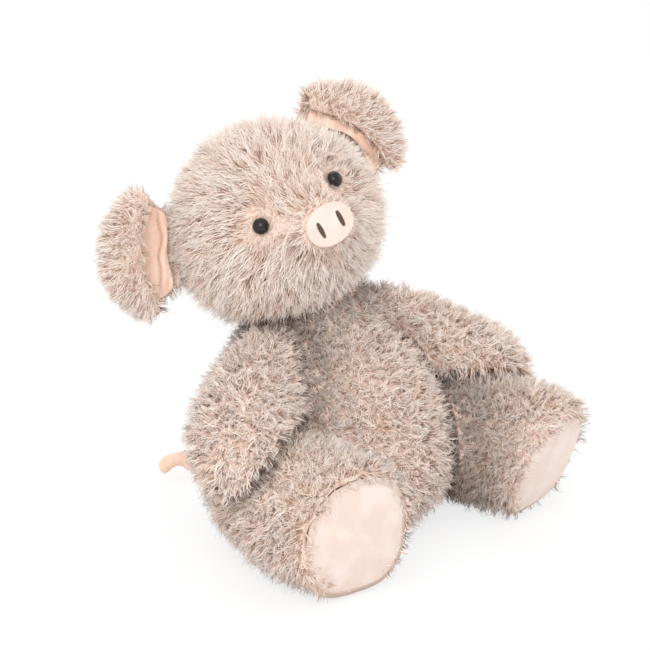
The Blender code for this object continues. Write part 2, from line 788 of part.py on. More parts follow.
def build_legs():
    """The legs, flat where they lie on the floor, each with a sole let into its foot."""
    for side in SIDES:
        place = sole_place(side)
        far = Vector((LEG_WIDTH, LEG_HEIGHT, FOOT_OVERHANG + OVERRUN))
        near = Vector((-LEG_WIDTH, -LEG_HEIGHT, 0))
        beyond = slab(f"{side}_foot_end", near, far)
        beyond.matrix_world = place @ beyond.matrix_world
        size = (SOLE_WIDTH + 2 * GAP, SOLE_TALL + 2 * GAP, SOLE_RECESS + OVERRUN)
        floor = place @ Matrix.Translation((0, 0, -SOLE_RECESS))
        pocket = oval_plate(f"{side}_sole_pocket", size, floor)
        others = (beyond, pocket, UNDER_FLOOR)
        skin, stuffing = build_limb("leg", side, leg_form, leg_ends, HIP_BALL, LEG_SWING, others)
        behind = slab(f"{side}_foot_fill_end", near - Vector((0, 0, PLUSH_WALL)), far)
        behind.matrix_world = place @ behind.matrix_world
        combine(stuffing, behind)
        size = (SOLE_WIDTH, SOLE_TALL, SOLE_THICKNESS)
        seat = place @ Matrix.Translation((0, 0, GAP - SOLE_RECESS))
        oval_plate(f"{side}_foot_sole", size, seat, SUEDE, SOLE_THICKNESS / 3)


def build_tail():
    """The curly tail: a stitched tube with a ball at its root."""
    curve = bpy.data.curves.new("tail_route", "CURVE")
    curve.dimensions = "3D"
    curve.bevel_depth = TAIL_THICKNESS / 2
    curve.bevel_resolution = 2
    curve.use_fill_caps = True
    curve.resolution_u = 3
    spline = curve.splines.new("BEZIER")
    spline.bezier_points.add(len(TAIL_ROUTE) - 1)
    for point, spot in zip(spline.bezier_points, TAIL_ROUTE):
        point.co = spot
        point.handle_left_type = "AUTO"
        point.handle_right_type = "AUTO"
    route = bpy.data.objects.new("tail_route", curve)
    CUTTERS.objects.link(route)
    bpy.context.view_layer.update()
    bm = bmesh.new()
    bm.from_mesh(settled(route))
    bmesh.ops.remove_doubles(bm, verts=bm.verts, dist=GAP / 10)
    bpy.data.objects.remove(route, do_unlink=True)
    tail = add("tail", bm, Matrix.Translation(TAIL_ROOT), SATIN)
    combine(tail, ball("tail_ball", TAIL_ROOT, TAIL_BALL), "UNION")


def attach(parent, *children):
    """Hangs pieces on the piece that carries them, each in its place."""
    carrier = PIG.objects[parent]
    for name in children:
        child = PIG.objects[name]
        place = child.matrix_world.copy()
        child.parent = carrier
        child.matrix_parent_inverse = carrier.matrix_world.inverted()
        child.matrix_world = place


build_torso()
build_neck()
HEAD_SKIN, HEAD_STUFFING, FACE = build_head()
build_eyes(HEAD_SKIN, HEAD_STUFFING)
build_snout(FACE)
build_ears(HEAD_SKIN, HEAD_STUFFING)
build_arms()
build_legs()
build_tail()

attach("torso_skin", "torso_stuffing", "bean_pouch", "neck_stuffing", "tail")
attach("neck_stuffing", "head_skin")
attach("head_skin", "head_stuffing", "snout_pad")
attach("snout_pad", "right_nostril", "left_nostril")
for SIDE in SIDES:
    attach("torso_skin", f"{SIDE}_arm_skin", f"{SIDE}_leg_skin")
    attach("head_skin", f"{SIDE}_ear_back", f"{SIDE}_eye", f"{SIDE}_eye_washer")
    attach(f"{SIDE}_ear_back", f"{SIDE}_ear_lining")
    attach(f"{SIDE}_arm_skin", f"{SIDE}_arm_stuffing")
    attach(f"{SIDE}_leg_skin", f"{SIDE}_leg_stuffing", f"{SIDE}_foot_sole")
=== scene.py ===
"""The looks of a seated plush pig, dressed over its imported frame.

Each stuffed part is a padded form with a pile of tapered strands standing on it. The soles and the snout
are suede patches, the ears are lined with satin, and the nostrils are embroidered.
"""

import logging
import math
from collections.abc import Callable
from dataclasses import dataclass, field, fields, replace
from enum import Enum

import bmesh
import bpy
import numpy as np
from mathutils import Matrix, Vector
from mathutils.bvhtree import BVHTree
from mathutils.kdtree import KDTree


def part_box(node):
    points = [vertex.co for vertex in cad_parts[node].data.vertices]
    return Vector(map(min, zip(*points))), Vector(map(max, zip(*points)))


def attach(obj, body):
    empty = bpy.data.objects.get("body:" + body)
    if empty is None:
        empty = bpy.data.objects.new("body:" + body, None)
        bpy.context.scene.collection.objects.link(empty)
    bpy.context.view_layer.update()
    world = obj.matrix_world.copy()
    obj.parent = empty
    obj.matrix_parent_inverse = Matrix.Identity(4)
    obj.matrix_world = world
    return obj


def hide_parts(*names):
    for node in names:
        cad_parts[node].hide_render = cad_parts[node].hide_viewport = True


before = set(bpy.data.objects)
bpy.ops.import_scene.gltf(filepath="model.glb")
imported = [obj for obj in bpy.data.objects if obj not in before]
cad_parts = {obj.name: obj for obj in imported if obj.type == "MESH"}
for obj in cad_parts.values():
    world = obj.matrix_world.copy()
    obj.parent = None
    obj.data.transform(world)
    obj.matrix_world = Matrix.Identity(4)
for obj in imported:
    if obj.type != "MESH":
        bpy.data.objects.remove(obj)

LOG = logging.getLogger("plush_pig")
MM = 0.001
PER_SQUARE_MM = 1e6
WHITE = (1, 1, 1)
Colour = tuple[float, float, float]
Offset = tuple[float, float, float]
Comb = Callable[[np.ndarray, np.ndarray], np.ndarray]
Oval = tuple[Matrix, float, float, float]
Bulge = tuple[Offset, float, float]


class Wire:
    """A value in a node tree: arithmetic on it adds Math nodes."""

    def __init__(self, bench: "Nodes", socket: bpy.types.NodeSocket) -> None:
        """Keeps the tree that the socket belongs to.

        Args:
            bench: the node tree in the making.
            socket: an output socket of one of its nodes.
        """
        self.bench = bench
        self.socket = socket

    def _math(self, operation: str, first: object, second: object) -> "Wire":
        """Adds one Math node.

        Args:
            operation: the node's operation.
            first: its first number or wire.
            second: its second number or wire.

        Returns:
            The node's result.
        """
        return self.bench.node("ShaderNodeMath", {"operation": operation}, {0: first, 1: second})

    def __add__(self, other: object) -> "Wire":
        """The sum."""
        return self._math("ADD", self, other)

    def __radd__(self, other: object) -> "Wire":
        """The sum, reflected."""
        return self._math("ADD", other, self)

    def __sub__(self, other: object) -> "Wire":
        """The difference."""
        return self._math("SUBTRACT", self, other)

    def __rsub__(self, other: object) -> "Wire":
        """The difference, reflected."""
        return self._math("SUBTRACT", other, self)

    def __mul__(self, other: object) -> "Wire":
        """The product."""
        return self._math("MULTIPLY", self, other)

    def __rmul__(self, other: object) -> "Wire":
        """The product, reflected."""
        return self._math("MULTIPLY", other, self)


class Nodes:
    """A node tree in the making."""

    def __init__(self, tree: bpy.types.NodeTree) -> None:
        """Keeps the tree."""
        self.tree = tree

    def node(self, kind: str, settings: dict | None = None, inputs: dict | None = None, output: int | str = 0) -> Wire:
        """Adds one node, with its settings first and its sockets after.

        Args:
            kind: the node's type.
            settings: its settings by name, with "stops" for a ramp's places and colours.
            inputs: its sockets by name or number, each a value or a wire.
            output: the output that is wanted.

        Returns:
            The output, as a wire.
        """
        made = self.tree.nodes.new(kind)
        for name, value in (settings or {}).items():
            if name == "stops":
                ramp = made.color_ramp.elements
                while len(ramp) < len(value):
                    ramp.new(1)
                for stop, (place, colour) in zip(ramp, value):
                    stop.position = place
                    stop.color = (*colour, 1)
            else:
                setattr(made, name, value)
        for name, value in (inputs or {}).items():
            self.set(made.inputs[name], value)
        return Wire(self, made.outputs[output])

    def set(self, socket: bpy.types.NodeSocket, value: object) -> None:
        """Links a wire to a socket, or sets the socket's own value.

        Args:
            socket: an input socket.
            value: a wire, a number, or a colour or vector of three.
        """
        if isinstance(value, Wire):
            self.tree.links.new(value.socket, socket)
        elif isinstance(value, tuple) and socket.type == "RGBA":
            socket.default_value = (*value, 1)
        else:
            socket.default_value = value


class Bench(Nodes):
    """One material in the making."""

    SHEEN_ROUGHNESS = 0.5
    SHEEN_TINT = (1.0, 0.93, 0.87)

    def __init__(self, name: str, roughness: float, sheen: float = 0.0, gloss: float = 0.5) -> None:
        """Starts a material on one Principled shader.

        Args:
            name: the material's name.
            roughness: the shader's roughness.
            sheen: the weight of its soft sheen.
            gloss: the level of its plain reflection.
        """
        self.material = bpy.data.materials.new(name)
        self.material.use_nodes = True
        super().__init__(self.material.node_tree)
        self.shader = self.tree.nodes["Principled BSDF"]
        self.feed("Roughness", roughness)
        self.feed("Specular IOR Level", gloss)
        self.feed("Sheen Weight", sheen)
        self.feed("Sheen Roughness", self.SHEEN_ROUGHNESS)
        self.feed("Sheen Tint", self.SHEEN_TINT)

    def feed(self, name: str, value: object) -> None:
        """Sets one of the shader's own sockets by name."""
        self.set(self.shader.inputs[name], value)

    def place(self, scale: tuple[float, float, float] = (1, 1, 1)) -> Wire:
        """Object coordinates, stretched by a scale."""
        where = self.node("ShaderNodeTexCoord", output="Object")
        return self.node("ShaderNodeMapping", {}, {"Vector": where, "Scale": scale})

    def attribute(self, name: str) -> Wire:
        """A number that the mesh carries."""
        return self.node("ShaderNodeAttribute", {"attribute_name": name}, {}, "Fac")

    def noise(self, size: float, detail: float = 2.0, place: Wire | None = None) -> Wire:
        """Noise whose lumps are about this size, in metres.

        Args:
            size: the size of a lump.
            detail: how many finer layers it has.
            place: the coordinates, or the plain Object ones.

        Returns:
            The noise, from 0 to 1.
        """
        values = {"Vector": place or self.place(), "Scale": 1 / size, "Detail": detail}
        return self.node("ShaderNodeTexNoise", {}, values, "Fac")

    def ramp(self, value: Wire, *stops: tuple[float, Colour]) -> Wire:
        """A colour ramp with these stops."""
        return self.node("ShaderNodeValToRGB", {"stops": stops}, {"Fac": value}, "Color")

    def steps(self, value: Wire, low: float, high: float) -> Wire:
        """A smooth step from 0 at low to 1 at high."""
        settings = {"interpolation_type": "SMOOTHSTEP"}
        return self.node("ShaderNodeMapRange", settings, {"Value": value, "From Min": low, "From Max": high})

    def blend(self, factor: object, first: object, second: object, how: str = "MIX") -> Wire:
        """Mixes two colours.

        Args:
            factor: the share of the second one.
            first: a colour or wire.
            second: a colour or wire.
            how: the way of mixing.

        Returns:
            The mixed colour.
        """
        settings = {"data_type": "RGBA", "blend_type": how}
        return self.node("ShaderNodeMix", settings, {0: factor, 6: first, 7: second}, 2)

    def bump(self, height: Wire, depth: float, strength: float = 1.0) -> None:
        """Raises the surface by a height map of this depth in metres."""
        values = {"Height": height, "Distance": depth, "Strength": strength}
        self.feed("Normal", self.node("ShaderNodeBump", {}, values, "Normal"))


@dataclass(frozen=True)
class PileFinish:
    """Plush pile: dark at the root, painted shade for the pile's depth, pale at the tip, a little different in each
    strand.
    """

    name: str = "plush_pile"
    root: Colour = (0.52, 0.31, 0.215)
    middle: Colour = (0.95, 0.75, 0.635)
    tip: Colour = (1.0, 0.92, 0.845)
    blush: Colour = (1.0, 0.965, 0.945)
    frost: Colour = (0.985, 0.985, 1.0)
    patch: float = 26 * MM
    tint_spread: float = 0.9
    least_light: float = 0.84
    shade_depth: float = 0.6

    def make(self) -> bpy.types.Material:
        """Makes the material."""
        bench = Bench(self.name, 0.8, sheen=0.22, gloss=0.15)
        along = bench.attribute("along")
        tint = bench.attribute("tint")
        # The ramp's dark root is painted shade for the depth of the pile; the pale tip is the fibre's own colour.
        stops = (0.0, self.root), (0.36, self.middle), (0.95, self.tip)
        colour = bench.ramp(along + (tint - 0.5) * self.tint_spread, *stops)
        patch = bench.noise(self.patch)
        cast = bench.blend(bench.steps(patch, 0.35, 0.65), self.blush, self.frost)
        colour = bench.blend(1.0, colour, cast, "MULTIPLY")
        light = self.least_light + round(1 - self.least_light, 6) * tint
        # Painted shade: the shade mark darkens the pile where a neighbouring part would shade it.
        light = light * (1 - self.shade_depth * bench.attribute("shade"))
        depth = bench.node("ShaderNodeCombineColor", {}, {i: light for i in range(3)}, "Color")
        bench.feed("Base Color", bench.blend(1.0, colour, depth, "MULTIPLY"))
        return bench.material


@dataclass(frozen=True)
class BackingFinish:
    """The knitted cloth that the pile stands on."""

    name: str = "plush_backing"
    dark: Colour = (0.58, 0.42, 0.345)
    light: Colour = (0.82, 0.66, 0.575)
    stitch: float = 1.1 * MM
    patch: float = 14 * MM

    def make(self) -> bpy.types.Material:
        """Makes the material."""
        bench = Bench(self.name, 0.95)
        knit = bench.noise(self.stitch, 1.0, bench.place((1, 1, 0.6)))
        patch = bench.noise(self.patch)
        colour = bench.blend(bench.steps(knit, 0.35, 0.65), self.dark, self.light)
        bench.feed("Base Color", bench.blend(patch * 0.4, colour, self.dark))
        bench.bump(knit, 0.4 * MM)
        return bench.material


@dataclass(frozen=True)
class SuedeFinish:
    """Brushed suede cloth: fine nap, cloudy where the nap turns, with a dark seam at its rim deepened by painted shade
    below.
    """

    name: str = "suede"
    base: Colour = (0.685, 0.552, 0.488)
    pale: Colour = (0.74, 0.626, 0.577)
    deep: Colour = (0.58, 0.39, 0.29)
    cloud: float = 16 * MM
    nap: float = 0.5 * MM

    def make(self) -> bpy.types.Material:
        """Makes the material."""
        bench = Bench(self.name, 0.88, sheen=0.35)
        cloud = bench.noise(self.cloud, 3.0)
        nap = bench.noise(self.nap, 2.0, bench.place((1, 1, 0.45)))
        rim = bench.attribute("rim")
        colour = bench.blend(bench.steps(cloud, 0.38, 0.66), self.base, self.pale)
        colour = bench.blend(bench.steps(nap, 0.55, 0.8) * 0.35, colour, self.deep)
        # The rim mark darkens the edge: a dark seam, made deepest on the lower side by painted shade.
        bench.feed("Base Color", bench.blend(rim * 0.75, colour, self.deep))
        bench.feed("Roughness", 0.82 + nap * 0.14)
        bench.bump(nap + cloud * 0.5, 0.14 * MM, 0.7)
        return bench.material


@dataclass(frozen=True)
class SatinFinish:
    """Smooth lining cloth: a fine twill with a soft sheen, and painted shade darkening its creases."""

    name: str = "satin"
    base: Colour = (0.88, 0.585, 0.44)
    pale: Colour = (0.95, 0.72, 0.585)
    deep: Colour = (0.46, 0.23, 0.14)
    thread: float = 0.55 * MM
    fold: float = 11 * MM

    def make(self) -> bpy.types.Material:
        """Makes the material."""
        bench = Bench(self.name, 0.5, sheen=0.3)
        fold = bench.noise(self.fold, 2.0, bench.place((1, 1, 0.5)))
        crease = bench.attribute("crease")
        settings = {"wave_type": "BANDS", "bands_direction": "DIAGONAL"}
        twill = bench.node("ShaderNodeTexWave", settings, {"Vector": bench.place(), "Scale": 0.31 / self.thread})
        colour = bench.blend(bench.steps(fold, 0.35, 0.68), self.base, self.pale)
        # Painted shade: the crease mark darkens the satin in its folds.
        colour = bench.blend(crease * 0.8, colour, self.deep)
        bench.feed("Base Color", bench.blend(twill * 0.10, colour, self.deep))
        bench.feed("Roughness", 0.42 + fold * 0.18)
        bench.bump(twill * 0.25 + fold, 0.25 * MM, 0.6)
        return bench.material


@dataclass(frozen=True)
class ThreadFinish:
    """Embroidery thread: two plies twisted together."""

    name: str = "thread"
    dark: Colour = (0.055, 0.024, 0.016)
    light: Colour = (0.19, 0.095, 0.062)
    ply: float = 0.35 * MM

    def make(self) -> bpy.types.Material:
        """Makes the material."""
        bench = Bench(self.name, 0.55, sheen=0.15)
        ply = bench.noise(self.ply, 1.0)
        bench.feed("Base Color", bench.blend(bench.steps(ply, 0.4, 0.75), self.dark, self.light))
        bench.feed("Roughness", 0.45 + ply * 0.25)
        bench.bump(ply, 0.1 * MM)
        return bench.material


@dataclass(frozen=True)
class EyeFinish:
    """Polished black plastic with the faintest haze."""

    name: str = "eye_plastic"
    base: Colour = (0.010, 0.009, 0.009)
    haze: Colour = (0.030, 0.026, 0.024)
    cloud: float = 3 * MM

    def make(self) -> bpy.types.Material:
        """Makes the material."""
        bench = Bench(self.name, 0.12, gloss=0.25)
        haze = bench.noise(self.cloud, 4.0)
        bench.feed("Base Color", bench.blend(haze, self.base, self.haze))
        bench.feed("Roughness", 0.09 + haze * 0.08)
        return bench.material


@dataclass(frozen=True)
class FibreFinish:
    """Loose white filling."""

    name: str = "fibre"
    shade: Colour = (0.70, 0.69, 0.66)
    light: Colour = (0.90, 0.89, 0.86)
    tuft: float = 6 * MM

    def make(self) -> bpy.types.Material:
        """Makes the material."""
        bench = Bench(self.name, 0.95, sheen=0.2)
        tuft = bench.noise(self.tuft, 5.0)
        bench.feed("Base Color", bench.blend(bench.steps(tuft, 0.35, 0.65), self.shade, self.light))
        bench.bump(tuft, 2.0 * MM)
        return bench.material


@dataclass(frozen=True)
class CalicoFinish:
    """Plain weave over loose beans."""

    name: str = "calico"
    dark: Colour = (0.60, 0.53, 0.42)
    light: Colour = (0.78, 0.72, 0.61)
    weave: float = 520
    bean: float = 4 * MM

    def make(self) -> bpy.types.Material:
        """Makes the material."""
        bench = Bench(self.name, 0.9)
        where = bench.place()
        values = {"Vector": where, "Scale": self.weave}
        warp, weft = (bench.node("ShaderNodeTexWave", {"bands_direction": way}, values) for way in "XY")
        beans = bench.node("ShaderNodeTexVoronoi", {}, {"Vector": where, "Scale": 1 / self.bean}, "Distance")
        weave = warp * weft
        bench.feed("Base Color", bench.blend(weave, self.dark, self.light))
        bench.bump(weave * 0.15 + (1 - beans), 0.8 * MM)
        return bench.material


@dataclass(frozen=True)
class MouldedFinish:
    """Moulded white plastic with a fine matt grain."""

    name: str = "washer_plastic"
    shade: Colour = (0.66, 0.66, 0.64)
    light: Colour = (0.80, 0.80, 0.78)
    grain: float = 0.4 * MM

    def make(self) -> bpy.types.Material:
        """Makes the material."""
        bench = Bench(self.name, 0.5)
        grain = bench.noise(self.grain, 3.0)
        bench.feed("Base Color", bench.blend(grain, self.shade, self.light))
        bench.feed("Roughness", 0.4 + grain * 0.2)
        bench.bump(grain, 0.05 * MM)
        return bench.material


@dataclass(frozen=True)
class Finishes:
    """Every material of the pig."""

    pile: bpy.types.Material = field(default_factory=PileFinish().make)
    backing: bpy.types.Material = field(default_factory=BackingFinish().make)
    suede: bpy.types.Material = field(default_factory=SuedeFinish().make)
    satin: bpy.types.Material = field(default_factory=SatinFinish().make)
    thread: bpy.types.Material = field(default_factory=ThreadFinish().make)
    eye: bpy.types.Material = field(default_factory=EyeFinish().make)
    fibre: bpy.types.Material = field(default_factory=FibreFinish().make)
    calico: bpy.types.Material = field(default_factory=CalicoFinish().make)
    moulded: bpy.types.Material = field(default_factory=MouldedFinish().make)


class Workshop:
    """The operators and mesh moves that the pieces share."""

    @staticmethod
    def pick(piece: bpy.types.Object) -> None:
        """Makes a piece the only one selected, and the active one."""
        bpy.ops.object.select_all(action="DESELECT")
        piece.select_set(True)
        bpy.context.view_layer.objects.active = piece

    @staticmethod
    def copy_nodes(nodes: tuple[str, ...], name: str) -> bpy.types.Object:
        """A new piece with the merged meshes of some CAD nodes.

        Args:
            nodes: the nodes' names.
            name: the piece's name.

        Returns:
            The piece, at the origin.
        """
        bm = bmesh.new()
        for node in nodes:
            bm.from_mesh(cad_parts[node].data)
        bmesh.ops.remove_doubles(bm, verts=bm.verts, dist=0.01 * MM)
        mesh = bpy.data.meshes.new(name)
        bm.to_mesh(mesh)
        bm.free()
        piece = bpy.data.objects.new(name, mesh)
        bpy.context.scene.collection.objects.link(piece)
        return piece

    @classmethod
    def modify(cls, piece: bpy.types.Object, kind: str, **settings: object) -> None:
        """Adds one modifier and applies it.

        Args:
            piece: the piece.
            kind: the modifier's type.
            settings: its settings by name.
        """
        cls.pick(piece)
        modifier = piece.modifiers.new(kind.lower(), kind)
        for name, value in settings.items():
            setattr(modifier, name, value)
        bpy.ops.object.modifier_apply(modifier=modifier.name)

    @classmethod
    def round_off(cls, piece: bpy.types.Object, material: bpy.types.Material) -> None:
        """Shades a finished piece smooth and gives it its material."""
        cls.pick(piece)
        bpy.ops.object.shade_smooth()
        piece.data.materials.clear()
        piece.data.materials.append(material)

    @staticmethod
    def points(piece: bpy.types.Object) -> np.ndarray:
        """The places of a mesh's vertices."""
        found = np.empty(len(piece.data.vertices) * 3)
        piece.data.vertices.foreach_get("co", found)
        return found.reshape(-1, 3)

    @staticmethod
    def normals(piece: bpy.types.Object) -> np.ndarray:
        """The normals of a mesh's vertices."""
        found = np.empty(len(piece.data.vertices) * 3, np.float32)
        piece.data.vertex_normals.foreach_get("vector", found)
        return found.reshape(-1, 3).astype(float)

    @staticmethod
    def move(piece: bpy.types.Object, places: np.ndarray) -> None:
        """Puts a mesh's vertices at new places."""
        piece.data.vertices.foreach_set("co", places.ravel())
        piece.data.update()

    @staticmethod
    def mark(piece: bpy.types.Object, name: str, values: np.ndarray) -> None:
        """Stores a number per vertex for a material to read."""
        layer = piece.data.attributes.get(name) or piece.data.attributes.new(name, "FLOAT", "POINT")
        layer.data.foreach_set("value", values.astype(np.float32))

    @staticmethod
    def tree_over(*pieces: bpy.types.Object) -> BVHTree:
        """A search tree over some objects' faces."""
        corners: list[Vector] = []
        faces: list[tuple[int, ...]] = []
        for piece in pieces:
            start = len(corners)
            corners.extend(v.co.copy() for v in piece.data.vertices)
            faces.extend(tuple(start + i for i in p.vertices) for p in piece.data.polygons)
        return BVHTree.FromPolygons(corners, faces)

    @classmethod
    def tree_of(cls, nodes: tuple[str, ...]) -> BVHTree:
        """A search tree over some CAD nodes' faces."""
        return cls.tree_over(*(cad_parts[node] for node in nodes))

    @staticmethod
    def distances(tree: BVHTree, places: np.ndarray, reach: float) -> np.ndarray:
        """How far each place is from a tree's faces, up to a reach."""
        found = np.full(len(places), reach)
        for i, place in enumerate(places):
            near = tree.find_nearest(Vector(place), reach)
            if near[0] is not None:
                found[i] = near[3]
        return found

    @staticmethod
    def corners(node: str) -> np.ndarray:
        """The places of a CAD node's corners, each once."""
        return np.unique(np.round([v.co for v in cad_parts[node].data.vertices], 6), axis=0)

    @staticmethod
    def centre(node: str) -> Vector:
        """The middle of a CAD node's box."""
        low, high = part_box(node)
        return (low + high) / 2

    @staticmethod
    def cloudy(piece: bpy.types.Object, lump: float, strength: float, mid_level: float = 0.5) -> None:
        """Presses soft clouds into a mesh.

        Args:
            piece: the piece.
            lump: the size of a cloud.
            strength: how far the mesh moves between a cloud's lowest and highest place.
            mid_level: the cloud's value, from 0 to 1, at which the mesh stays.
        """
        cloud = bpy.data.textures.new(piece.name, "CLOUDS")
        cloud.noise_scale = lump
        Workshop.modify(piece, "DISPLACE", texture=cloud, strength=strength, mid_level=mid_level)

    @classmethod
    def plate_frame(cls, node: str, outward_from: Vector, upright: bool = False) -> tuple[Matrix, Vector]:
        """The place of a flat CAD node.

        Args:
            node: the node's name.
            outward_from: a point behind it.
            upright: whether X is level and Y points up, rather than X being the plate's long way.

        Returns:
            A matrix whose Z leaves the plate's front, and half the plate's sizes.
        """
        places = cls.corners(node)
        middle = (places.max(0) + places.min(0)) / 2
        _, _, ways = np.linalg.svd(places - places.mean(0), full_matrices=False)
        normal, long_way = Vector(ways[2]), Vector(ways[0])
        if normal.dot(Vector(middle) - outward_from) < 0:
            normal = -normal
        if upright:
            long_way = Vector((0, 0, 1)).cross(normal).normalized()
        side = normal.cross(long_way)
        turn = Matrix((long_way, side, normal)).transposed()
        local = (places - places.mean(0)) @ np.array(turn)
        centre = Vector(places.mean(0) + np.array(turn) @ ((local.max(0) + local.min(0)) / 2))
        return Matrix.Translation(centre) @ turn.to_4x4(), Vector((local.max(0) - local.min(0)) / 2)


def smooth_step(values: np.ndarray, low: float, high: float) -> np.ndarray:
    """A smooth step from 0 at low to 1 at high."""
    share = np.clip((values - low) / (high - low), 0, 1)
    return share * share * (3 - 2 * share)


def unit(vectors: np.ndarray) -> np.ndarray:
    """Vectors made one long."""
    return vectors / np.maximum(np.linalg.norm(vectors, axis=-1, keepdims=True), 1e-12)


def hang(piece: bpy.types.Object, node: str, body: str) -> None:
    """Hides the CAD node that a finished piece replaces, hangs the piece on its body, and reports it.

    Args:
        piece: the piece.
        node: the CAD node that it replaces, or none for a piece of its own.
        body: the body that it rides on.
    """
    if node:
        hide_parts(node)
    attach(piece, body)
    LOG.info("%s: %d faces", piece.name, len(piece.data.polygons))


@dataclass
class StuffedForm:
    """A stuffed cover without its pile: the CAD form, sunk by the pile's height and puffed by its filling.

    Attributes:
        name: the piece's name.
        nodes: the CAD nodes that it is made from, with the one that it replaces first.
        near: the neighbours that its pile makes room for.
        bare: the nodes beside it that stay bare.
        voxel: the size of its mesh.
        depth: how deep it sinks where nothing is near.
        near_depth: how deep it sinks where it touches a neighbour.
        near_slope: how much deeper it sinks for each metre from a neighbour.
        bare_depth: how deep it sinks beside what stays bare.
        bare_slope: how much deeper it sinks for each metre from there.
        puff: how far its filling may press it out.
        smooth: whether its mesh is subdivided.
        bulges: where its filling is pushed up, each a middle, a reach and a height.
        shadow: the neighbours that shade its pile.
    """

    name: str
    nodes: tuple[str, ...]
    near: tuple[str, ...]
    bare: tuple[str, ...] = ()
    voxel: float = 4 * MM
    depth: float = 6.5 * MM
    near_depth: float = 1.2 * MM
    near_slope: float = 0.5
    bare_depth: float = 2 * MM
    bare_slope: float = 0.35
    puff: float = 1.5 * MM
    smooth: bool = True
    bulges: tuple[Bulge, ...] = ()
    shadow: tuple[str, ...] = ()
    piece: bpy.types.Object = field(init=False)
    room: np.ndarray = field(init=False)
    bare_gap: np.ndarray = field(init=False)
    shadow_gap: np.ndarray = field(init=False)
    outer: BVHTree = field(init=False)

    SINKS = 4
    THIN_SHARE = 0.3
    SKIN_REACH = 12 * MM
    REACH = 30 * MM
    FAR_REACH = 60 * MM
    PRESSURE = 4
    CLOTH_FRAMES = 20

    def build(self, finish: bpy.types.Material) -> bpy.types.Object:
        """Makes the padded mesh.

        Args:
            finish: the backing's material.

        Returns:
            The piece.
        """
        self.piece = Workshop.copy_nodes(self.nodes, self.name)
        Workshop.modify(self.piece, "REMESH", mode="VOXEL", voxel_size=self.voxel)
        self.fill_out()
        self.outer = Workshop.tree_over(self.piece)
        depth = np.minimum(self.depth, self.allowed(Workshop.points(self.piece)))
        depth = np.minimum(depth, self.thickness() * self.THIN_SHARE)[:, None]
        for _ in range(self.SINKS):
            sunk = Workshop.points(self.piece) - Workshop.normals(self.piece) * depth / self.SINKS
            Workshop.move(self.piece, sunk)
            self.relax()
        if self.puff:
            self.inflate()
        if self.smooth:
            Workshop.modify(self.piece, "SUBSURF", levels=1, render_levels=1)
        self.measure()
        Workshop.round_off(self.piece, finish)
        return self.piece

    def thickness(self) -> np.ndarray:
        """How thick the form is at each vertex, so that a thin end isn't turned inside out."""
        found = np.full(len(self.piece.data.vertices), self.FAR_REACH)
        for i, (place, normal) in enumerate(zip(Workshop.points(self.piece), Workshop.normals(self.piece))):
            inward = -Vector(normal)
            hit = self.outer.ray_cast(Vector(place) + inward * 0.1 * MM, inward, self.FAR_REACH)
            if hit[0] is not None:
                found[i] = hit[3]
        return found

    def allowed(self, places: np.ndarray) -> np.ndarray:
        """How deep the pile may be at each place, beside its neighbours and what stays bare."""
        near = self.near_depth + self.near_slope * self.gaps(self.near, places, self.REACH)
        bare = self.bare_depth + self.bare_slope * self.gaps(self.bare, places, self.REACH)
        depth = np.full(len(places), self.REACH)
        if self.near:
            depth = np.minimum(depth, near)
        return np.minimum(depth, bare) if self.bare else depth

    @staticmethod
    def gaps(nodes: tuple[str, ...], places: np.ndarray, reach: float) -> np.ndarray:
        """How far each place is from some CAD nodes, up to a reach."""
        if not nodes:
            return np.full(len(places), reach)
        return Workshop.distances(Workshop.tree_of(nodes), places, reach)

    def fill_out(self) -> None:
        """Swells the form at its bulges, each a middle, a reach and a height."""
        places, normals = Workshop.points(self.piece), Workshop.normals(self.piece)
        for middle, reach, height in self.bulges:
            far = np.linalg.norm(places - np.array(middle), axis=1, keepdims=True)
            places += normals * height * np.exp(-((far / reach) ** 2))
        places[:, 2] = np.maximum(places[:, 2], 0)
        Workshop.move(self.piece, places)

    def relax(self) -> None:
        """Smooths the mesh a little."""
        Workshop.modify(self.piece, "SMOOTH", factor=0.5, iterations=1)

    def inflate(self) -> None:
        """Lets the filling press the cover out, as a cloth under pressure."""
        start = Workshop.points(self.piece)
        Workshop.pick(self.piece)
        cloth = self.piece.modifiers.new("filling", "CLOTH")
        cloth.settings.use_pressure = True
        cloth.settings.uniform_pressure_force = self.PRESSURE
        cloth.settings.effector_weights.gravity = 0
        cloth.settings.quality = 4
        scene = bpy.context.scene
        for step in range(self.CLOTH_FRAMES):
            scene.frame_set(step + 1)
        bpy.ops.object.modifier_apply(modifier=cloth.name)
        scene.frame_set(1)
        moved = Workshop.points(self.piece) - start
        far = np.linalg.norm(moved, axis=1, keepdims=True)
        Workshop.move(self.piece, start + moved * np.minimum(1, self.puff / np.maximum(far, 1e-9)))
        self.relax()

    def measure(self) -> None:
        """Stores the pile's room at each vertex, and how far it is from what stays bare and what shades it."""
        places = Workshop.points(self.piece)
        skin = Workshop.distances(self.outer, places, self.SKIN_REACH)
        self.room = np.minimum(skin, self.allowed(places))
        self.bare_gap = self.gaps(self.bare, places, self.REACH)
        self.shadow_gap = self.gaps(self.shadow, places, self.FAR_REACH)


